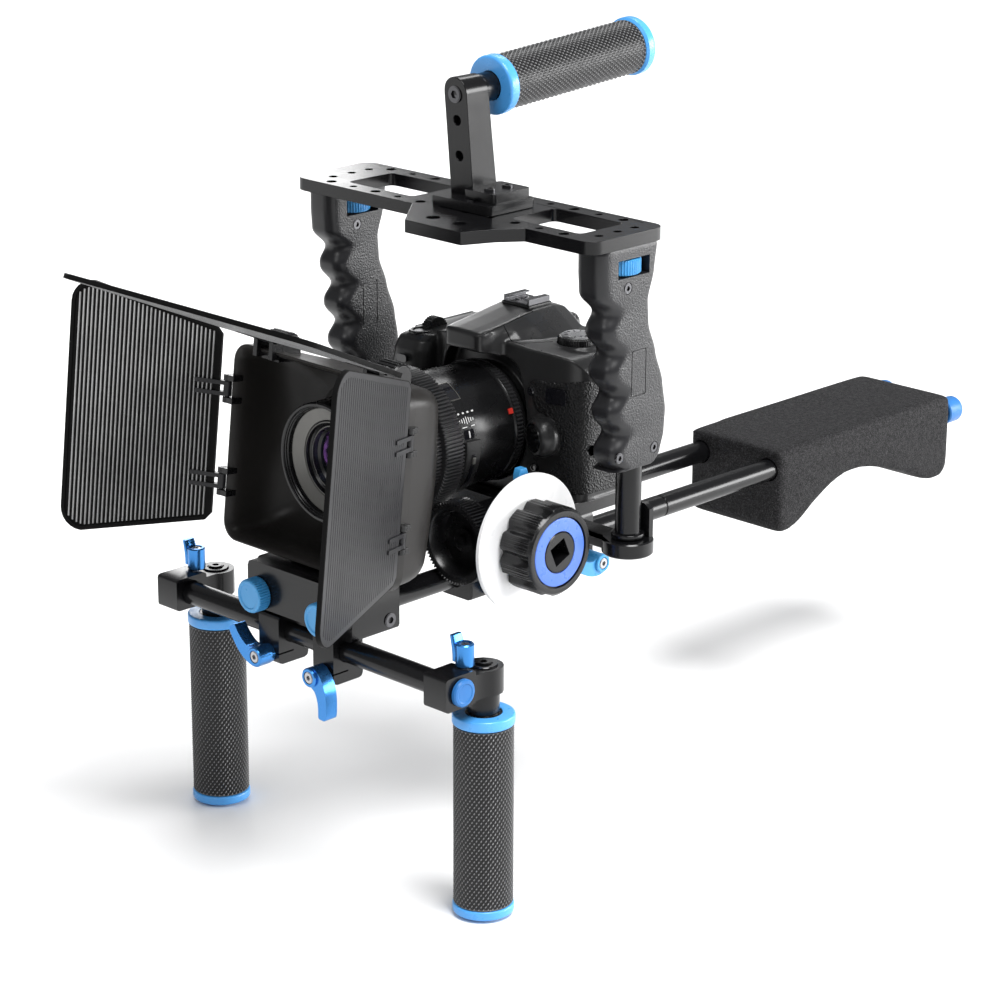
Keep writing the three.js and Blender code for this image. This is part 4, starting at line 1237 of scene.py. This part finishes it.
def add_lens_marks():
    """The scale's window, the strokes beside it, and the switch panel low on the side."""
    window, turn = 122.5, 56
    add("lens_window", on_barrel(BARREL, window, turn, 11, 13, 0.5), "screen",
        matrix=LENS)
    edges = [on_barrel(BARREL, window + d, turn, 0.5, 14, 0.8) for d in (-5.8, 5.8)]
    edges += [on_barrel(BARREL, window, turn + d, 12, 0.5, 0.8) for d in (-10.3, 10.3)]
    add("lens_window_frame", merged(*edges), "lens_grey", matrix=LENS)
    heights = (1.6, 2.4, 3.4, 4.6, 3.4, 2.4, 1.6)
    marks = [on_barrel(BARREL, 113.5 + k * 1.9, 25, 0.5, height, 0.3)
             for k, height in enumerate(heights)]
    marks += [on_barrel(BARREL, forward, 19, length, 0.5, 0.3)
              for forward, length in ((115, 3), (122, 4))]
    marks.append(on_barrel(BARREL + 0.4, 119.5, 12, 0.7, 4, 0.4))
    marks += [on_barrel(BARREL, forward, 32, 1.4, 1, 0.3) for forward in (112, 116, 120, 124)]
    add("lens_scale_marks", merged(*marks), "mark", matrix=LENS)
    seat, switches = 38.3, 118
    slots = [on_barrel(seat, switches, -26, 3, 26, 2.8), on_barrel(seat + 0.1, 119.5, 12, 8, 6, 0.5)]
    add("lens_switch_panel", on_barrel(seat, switches, -24, 12, 40, 2.6), "camera_skin",
        matrix=LENS, bevel=0.7)
    add("lens_switch_slots", merged(*slots), "screen", matrix=LENS)
    add("lens_switch", on_barrel(seat, switches, -12, 2.4, 4, 3.8), "lens_grey", matrix=LENS,
        bevel=0.4)


def add_focus_belt():
    """The toothed belt with its clamp, and the ribbed rubber sleeve behind it."""
    teeth = gear_outline(46.2, 1.5, 120)
    inner = circle(0, 0, 39.2, len(teeth))
    start, end = 131.0, 146.0
    belt = closed_tube([
        level(inner, start), level(teeth, start, 0.985), level(teeth, start + 0.5),
        level(teeth, end - 0.5), level(teeth, end, 0.985), level(inner, end)])
    ribs = gear_outline(41.6, 1.0, 110)
    low = circle(0, 0, 38.3, len(ribs))
    sleeve = closed_tube([
        level(low, end - 0.5), level(ribs, end - 0.5), level(ribs, 167.4), level(ribs, 168, 0.98),
        level(low, 168)])
    clamp = block(-7, 7, 37.5, 46, start + 1, end - 1)
    add("focus_belt", merged(belt, sleeve, clamp), "rubber", body="focus_ring",
        replaces="focus_ring", matrix=LENS)


# ------------------------------------------------------------------ still camera

CAMERA_PLAN = smooth_loop(
    [(66, -8), (0, -7.5), (-64, -8), (-71, -13), (-73, -26), (-73, -54), (-69, -61), (-48, -64),
     (-36, -69.5), (0, -71), (34, -70.5), (47, -68.5), (60, -65.5), (70, -62), (75.5, -57),
     (77.5, -48), (77.5, -24), (74, -12)], 4)
CAMERA_FRONT = smooth_loop(
    [(-70, 41), (0, 40), (71, 41), (76.5, 45), (77.8, 60), (77.8, 114), (76, 125), (70, 131.5),
     (60, 134), (42, 135.5), (20, 136.5), (-28, 134), (-46, 130), (-66, 128), (-72, 121),
     (-73.5, 60), (-73, 45)], 5)
# The round hollow about the lens mount, drawn in under the housing.
MOUNT_HOLLOW = smooth_loop(
    [(38.8, 83), (36.6, 104), (32, 119), (26, 125.5), (14, 128.3), (0, 128.6), (-14, 128.3),
     (-26, 125.5), (-32, 119), (-36.6, 104), (-38.8, 83), (-34, 62), (-20, 48.6), (0, 44.2),
     (20, 48.6), (34, 62)], 5)
# Levels of the prism housing from its brow back: y, half width of the top, half width at the
# body, and the heights of the underside, the shoulder and the top.
HOUSING = (
    (-88.5, 12, 12.5, 132.5, 136, 142.3), (-87, 14.8, 15, 131, 136, 143.4),
    (-80, 15.6, 16.6, 129.6, 136, 144.4), (-72, 15.8, 20, 127, 136, 145.3),
    (-62, 16, 27, 122, 136, 146.6), (-48, 16, 34, 118, 136, 148.8),
    (-37, 16, 36, 116, 136, 150.2), (-22, 15.6, 34, 116, 136, 150.2),
    (-10, 14.4, 30, 116, 135, 147), (-4, 13.4, 24, 118, 134, 142.4))
RELEASE = at(50, -76.5, 82) @ turned(math.radians(-18)) @ ALONG["-y"]       # the button's face
CAMERA_VOXEL = 0.9
PANEL_VOXEL = 0.7
DIAL_X = 51
DIAL_Y = -38
SHUTTER_X = -57
SHUTTER_Y = -68


def housing_section(y, top_half, low_half, bottom, shoulder, top):
    """One level of the prism housing: sloping sides between a flat top and the body."""
    slope = (low_half * 0.45 + top_half * 0.55, shoulder * 0.45 + top * 0.55)
    right = [(low_half, bottom), (low_half, shoulder), slope, (top_half + 0.6, top - 1.2),
             (top_half - 1.5, top), (top_half * 0.4, top + 0.4)]
    return [(x, y, z) for x, z in right + [(-x, z) for x, z in reversed(right)]]


def right_hand_grip():
    loops = []
    for z, shrink in ((43, 2.5), (47, 0.3), (100, 0), (119, 0.5), (125, 2), (128.5, 7)):
        front = -85 + shrink + max(0, (z - 100)) * 0.16
        loops.append(level(round_rect(-73 + shrink, -41, front, -48, 10, 6), z))
    return loft(loops)


def add_camera_body():
    """One moulded shell: the plan cut to the front view, with grip, housing and bosses."""
    body = add("camera_shell", prism(CAMERA_PLAN, 30, 150), "camera_skin", replaces="camera_body",
               angle=math.radians(48))
    boolean(body, [moved(prism(CAMERA_FRONT, 0, 100), FROM_FRONT)], operation="INTERSECT")
    release_boss = lathe([(0, -16), (8, -15.4), (11.4, -12.6), (12.6, -9), (12.6, -5),
                          (11.8, -1.8), (10, 0), (0, 0)], 48)
    dial_boss = lathe([(0, 0), (14.6, 0), (14.6, 9), (13.4, 10.4), (0, 10.4)], 48)
    boolean(body, [right_hand_grip(), loft([housing_section(*values) for values in HOUSING]),
                   moved(release_boss, RELEASE), moved(dial_boss, at(DIAL_X, DIAL_Y, 125.6)),
                   block(-15, 16, -12, -1.5, 117, 141)], operation="UNION")
    boolean(body, [moved(prism(MOUNT_HOLLOW, 60, 100), FROM_FRONT)])
    boolean(body, [moved(cylinder(35, 50, 66, 64), LENS)], operation="UNION")
    remeshed(body, CAMERA_VOXEL, 3)
    shutter_hole = moved(cylinder(5.6, 0, 18, 32), at(SHUTTER_X, SHUTTER_Y, 117))
    dial_hole = moved(cylinder(13, 0, 20, 48), at(DIAL_X, DIAL_Y, 132.6))
    release_hole = moved(cylinder(9.2, -9, 2, 40), RELEASE)
    boolean(body, [shutter_hole, dial_hole, release_hole] + camera_seams())
    body.data.materials.clear()
    body.data.materials.append(LOOKS["camera_skin"])
    body.data.set_sharp_from_angle(angle=math.radians(50))


def camera_seams():
    """Fine grooves beside the housing's top, across it, and on the shoulder next to it."""
    housing_edge, half = 15.2, 0.3
    seams = []
    for x in (-housing_edge, housing_edge):
        ridge = ((-92, 142.6), (-70, 145.6), (-41, 149.2))
        seams.append(loft([[(x - half, y, top - 1.6), (x + half, y, top - 1.6),
                            (x + half, y, top + 4), (x - half, y, top + 4)] for y, top in ridge]))
    seams.append(block(-housing_edge, housing_edge, -41.4, -40.8, 148.4, 156))
    seams.append(block(15, 34, -67.6, -67, 134.4, 150))
    seams.append(moved(block(0, 22, -half, half, 134.4, 150), at(30, -67.3, 0) @ turned(1.15)))
    return seams


PANEL_EDGE = smooth_loop(
    [(42, 116), (60, 117), (84, 119), (88, 100), (88, 52), (78, 47), (52, 46), (47, 50), (56, 60),
     (61, 68), (62.5, 80), (60, 90), (53, 94.5), (46, 98), (42.5, 106)], 4)


def add_camera_details():
    panel = add("camera_panel_left", prism(offset_loop(CAMERA_PLAN, -0.8), 44, 120), "leather")
    boolean(panel, [moved(prism(PANEL_EDGE, 30, 100), FROM_FRONT)], operation="INTERSECT")
    remeshed(panel, PANEL_VOXEL, 1)
    shade(panel.data, math.pi)
    badge = prism(round_rect(53, 67.5, 103.5, 113.5, 2), 0, 3.4)
    badge_place = at(60, -66.2, 106) @ turned(math.radians(14)) @ FROM_FRONT @ at(-60, -106, -2)
    add("camera_badge_blank", badge, "screen", matrix=badge_place, bevel=0.4)
    wrap = loft([level(round_rect(-73.9 + inset, -40.2, -85.9 + inset, -46, 10.4, 6), z)
                 for z, inset in ((49, 0.9), (50, 0), (108, 0), (109, 0.9))])
    add("camera_grip_rubber", wrap, "leather")
    sensor = prism(round_rect(-61, -52, 111.5, 116.5, 2), 0, 2)
    add("camera_sensor_window", sensor, "screen", matrix=at(0, -84.1, 0) @ FROM_FRONT, bevel=0.5)
    add("camera_shutter_rim", soft_ring(7.6, 5.3, 0, 2.4, 0.8, 48), "black_plastic",
        matrix=at(SHUTTER_X, SHUTTER_Y, 127))
    add_hot_shoe()
    add_mode_dial()
    release = lathe([(0, -5.5), (8.4, -5.5), (8.4, -0.8), (7.8, 0), (5, -0.8), (0, -1)], 40)
    add("release_cap", release, "black_metal", body="lens_release_button",
        replaces="lens_release_button", matrix=RELEASE)
    dot = lathe([(0, 60), (2.8, 60), (2.8, 70.4), (2.2, 71), (1.6, 71), (1.4, 70.2), (0, 70.2)], 24)
    for k, (x, z) in enumerate(((42, 109), (45, 60.5))):
        add(f"camera_port_{k}", dot, "screen", matrix=at(x, 0, z) @ ALONG["-y"])
    add("camera_front_wheel", prism(gear_outline(9, 0.6, 30), -3.4, 3.4), "black_plastic",
        matrix=at(SHUTTER_X, -56, 126.5) @ ALONG["+x"])
    lug = turned_ring([(2.2, -0.7), (3.8, -0.7), (3.8, 0.7), (2.2, 0.7)], 24)
    for side, s in SIDES:
        add(f"strap_lug_{side}", lug, "steel", matrix=at(s * 73 + 2.2, -40, 119) @ ALONG["+y"])
    add_camera_back()


def add_hot_shoe():
    half, lip, inside = 11, 6.4, 9.6
    top, roof, floor = 3.9, 2.9, 1
    section = [(-half, 0), (half, 0), (half, top), (lip, top), (lip, roof), (inside, roof),
               (inside, floor), (-inside, floor), (-inside, roof), (-lip, roof), (-lip, top),
               (-half, top)]
    side_on = Matrix(((1, 0, 0, 0), (0, 0, 1, -40), (0, 1, 0, 151.6), (0, 0, 0, 1)))
    add("hot_shoe_rails", prism(section, 0, 19), "dark_steel", matrix=side_on, bevel=0.25)
    add("hot_shoe_base", block(-12, 12, -41, -20, 148.5, 151.9), "black_plastic",
        bevel=0.8)
    pin = cylinder(1.2, 0, 0.5, 16)
    spots = ((0, -30), (-4, -26), (4, -26), (0, -23), (-4, -34))
    add("hot_shoe_contacts", merged(*[moved(pin, at(x, y, 152.5)) for x, y in spots]), "steel")


def add_mode_dial():
    spot = at(DIAL_X, DIAL_Y, 133)
    rim = gear_outline(12.5, 0.5, 48)
    core = circle(0, 0, 11.6, len(rim))
    dial = loft([level(core, 0), level(rim, 0.5), level(rim, 6.4), level(core, 7.2),
                 level(core, 7.6, 0.9)])
    add("dial_body", dial, "black_plastic", body="mode_dial", replaces="mode_dial", matrix=spot)
    cover = lathe([(0, 7.2), (10.2, 7.2), (10.2, 7.9), (9.6, 8.3), (8, 8.1), (0, 8.1)], 64)
    add("dial_top", cover, "steel", body="mode_dial", matrix=spot)
    tick = block(6.4, 8.8, -0.25, 0.25, 8, 8.35)
    count = 12
    ticks = [moved(tick, turned(TAU * k / count)) for k in range(count)]
    add("dial_marks", merged(*ticks), "screen", body="mode_dial", matrix=spot)


def add_camera_back():
    """The screen, eyecup, thumb ring, buttons and port doors. X and Z are seen from behind."""
    back = Matrix(((-1, 0, 0, 0), (0, 0, 1, -9), (0, 1, 0, 0), (0, 0, 0, 1)))
    add("camera_screen_frame", prism(round_rect(-34, 42, 50, 108, 3), 0, 2), "black_plastic",
        matrix=back, bevel=0.6)
    add("camera_screen", prism(round_rect(-29, 37, 55, 103, 1.5), 0, 2.4), "screen", matrix=back,
        bevel=0.3)
    eyecup = prism(round_rect(-16, 15, 118, 140, 6), 7.5, 11, [round_rect(-9, 8, 123, 135, 4)])
    add("camera_eyecup", eyecup, "rubber", matrix=back, bevel=1)
    thumb = at(56, 74, 0)
    ring = prism(gear_outline(13, 0.5, 40), 0, 2.6, [circle(0, 0, 6.5, 40)])
    add("camera_thumb_ring", moved(ring, thumb), "black_plastic", matrix=back,
        bevel=0.3)
    spots = [(56, 74, 5.6), (48, 110, 3), (58, 110, 3), (66, 108, 3), (50, 53, 2.6)]
    spots += [(-40, z, 2.6) for z in (60, 72, 84, 96)]
    buttons = [moved(lathe([(0, 0), (r, 0), (r, 1.8), (r * 0.8, 2.4), (0, 2.4)], 32), at(x, z, 0))
               for x, z, r in spots]
    add("camera_buttons", merged(*buttons), "black_plastic", matrix=back)
    doors = [prism(round_rect(a, b, 52, 110, 3), 0, 1.4) for a, b in ((-48, -33), (-30, -16))]
    add("camera_port_doors", merged(*doors), "leather", matrix=at(76.8, 0, 0) @ ALONG["+x"], bevel=0.5)


# ------------------------------------------------------------------ CAD nodes that stay


def dress_cad():
    """Materials, welded points and fine bevels on every CAD node that is still shown."""
    slots = {part["node"]: part["material_slot"] for part in frame["record"]["subparts"]}
    for name, node in frame["nodes"].items():
        if node.hide_render:
            continue
        mesh = node.data
        mesh.materials.clear()
        mesh.materials.append(LOOKS[slots[name]])
        for attribute in ("custom_normal", "sharp_edge", "sharp_face"):
            if attribute in mesh.attributes:
                mesh.attributes.remove(mesh.attributes[attribute])
        mesh.polygons.foreach_set("use_smooth", [True] * len(mesh.polygons))
        weld = node.modifiers.new("Weld", "WELD")
        weld.merge_threshold = 1e-6
        flat = node.modifiers.new("Flat", "DECIMATE")
        flat.decimate_type = "DISSOLVE"
        flat.angle_limit = math.radians(1)
        add_bevel(node, 0.5)


# ------------------------------------------------------------------ floor, light and camera

CAMERA_AZIMUTH = math.radians(44.345)
CAMERA_ELEVATION = math.radians(18.241)
CAMERA_ROLL = math.radians(0.215)
CAMERA_DISTANCE = 2.03684
CAMERA_TARGET = Vector((-0.0522, 0.042, 0.01247))
CAMERA_LENS = 110.66


def camera_axes():
    sa, ca = math.sin(CAMERA_AZIMUTH), math.cos(CAMERA_AZIMUTH)
    se, ce = math.sin(CAMERA_ELEVATION), math.cos(CAMERA_ELEVATION)
    back = Vector((sa * ce, -ca * ce, se))
    right = Vector((ca, sa, 0))
    up = back.cross(right)
    cr, sr = math.cos(CAMERA_ROLL), math.sin(CAMERA_ROLL)
    return right * cr + up * sr, up * cr - right * sr, back


def add_camera():
    right, up, back = camera_axes()
    data = bpy.data.cameras.new("camera")
    data.lens = CAMERA_LENS
    data.sensor_width = 36
    data.clip_end = 50
    camera = linked("camera", data)
    matrix = Matrix((right, up, back)).transposed().to_4x4()
    matrix.translation = CAMERA_TARGET + back * CAMERA_DISTANCE
    camera.matrix_world = matrix
    bpy.context.scene.camera = camera


def add_floor():
    reach = 14.0
    floor_z = CAD_BOX[0][2]
    mesh = bpy.data.meshes.new("floor")
    mesh.from_pydata([(-reach, -reach, floor_z), (reach, -reach, floor_z), (reach, reach, floor_z),
                      (-reach, reach, floor_z)], [], [(0, 1, 2, 3)])
    look = Look("floor", (0.86, 0.86, 0.86), 0.6)
    look.vary_colour(look.noise(0.6, 2), (0.88, 0.88, 0.88))
    mesh.materials.append(look.material)
    linked("floor", mesh)


def aim(direction):
    """The turn that points a light or camera along a direction."""
    return Vector(direction).to_track_quat("-Z", "Y").to_euler()


def area_light(name, position, size, watts):
    """A rectangular light aimed at the middle of the rig."""
    data = bpy.data.lights.new(name, "AREA")
    data.shape = "RECTANGLE"
    data.size, data.size_y = size
    data.energy = watts
    light = linked(name, data)
    light.visible_camera = False
    light.location = position
    light.rotation_euler = aim(Vector((0, 0.05, 0.05)) - Vector(position))


def add_lights():
    data = bpy.data.lights.new("sun", "SUN")
    data.energy = 4.0
    data.angle = math.radians(30)
    linked("sun", data).rotation_euler = aim((-0.7, 0.15, -1.5))
    area_light("front_box", (0.4, -2.2, 1.8), (1.0, 0.5), 10)
    area_light("left_strip", (-2.0, 1.4, 0.7), (0.5, 1.0), 7)
    area_light("right_box", (1.7, 1.9, 0.45), (2.2, 0.8), 85)
    area_light("back", (-1.3, 1.9, 2.4), (1.2, 0.6), 16)
    world = bpy.data.worlds.new("world")
    world.use_nodes = True
    background = world.node_tree.nodes["Background"]
    background.inputs["Color"].default_value = (0.97, 0.98, 1, 1)
    background.inputs["Strength"].default_value = 0.32
    bpy.context.scene.world = world
    bpy.context.scene.view_settings.view_transform = "Standard"


# ------------------------------------------------------------------ the whole scene

add_camera()
add_handles()
add_bracket_levers()
add_rod_ends()
add_matte_box()
add_flags()
add_follow_focus()
add_top_plate()
add_cage_grips()
add_base_details()
add_top_handle()
add_shoulder_pad()
add_lens()
add_camera_body()
add_camera_details()
dress_cad()
add_floor()
add_lights()
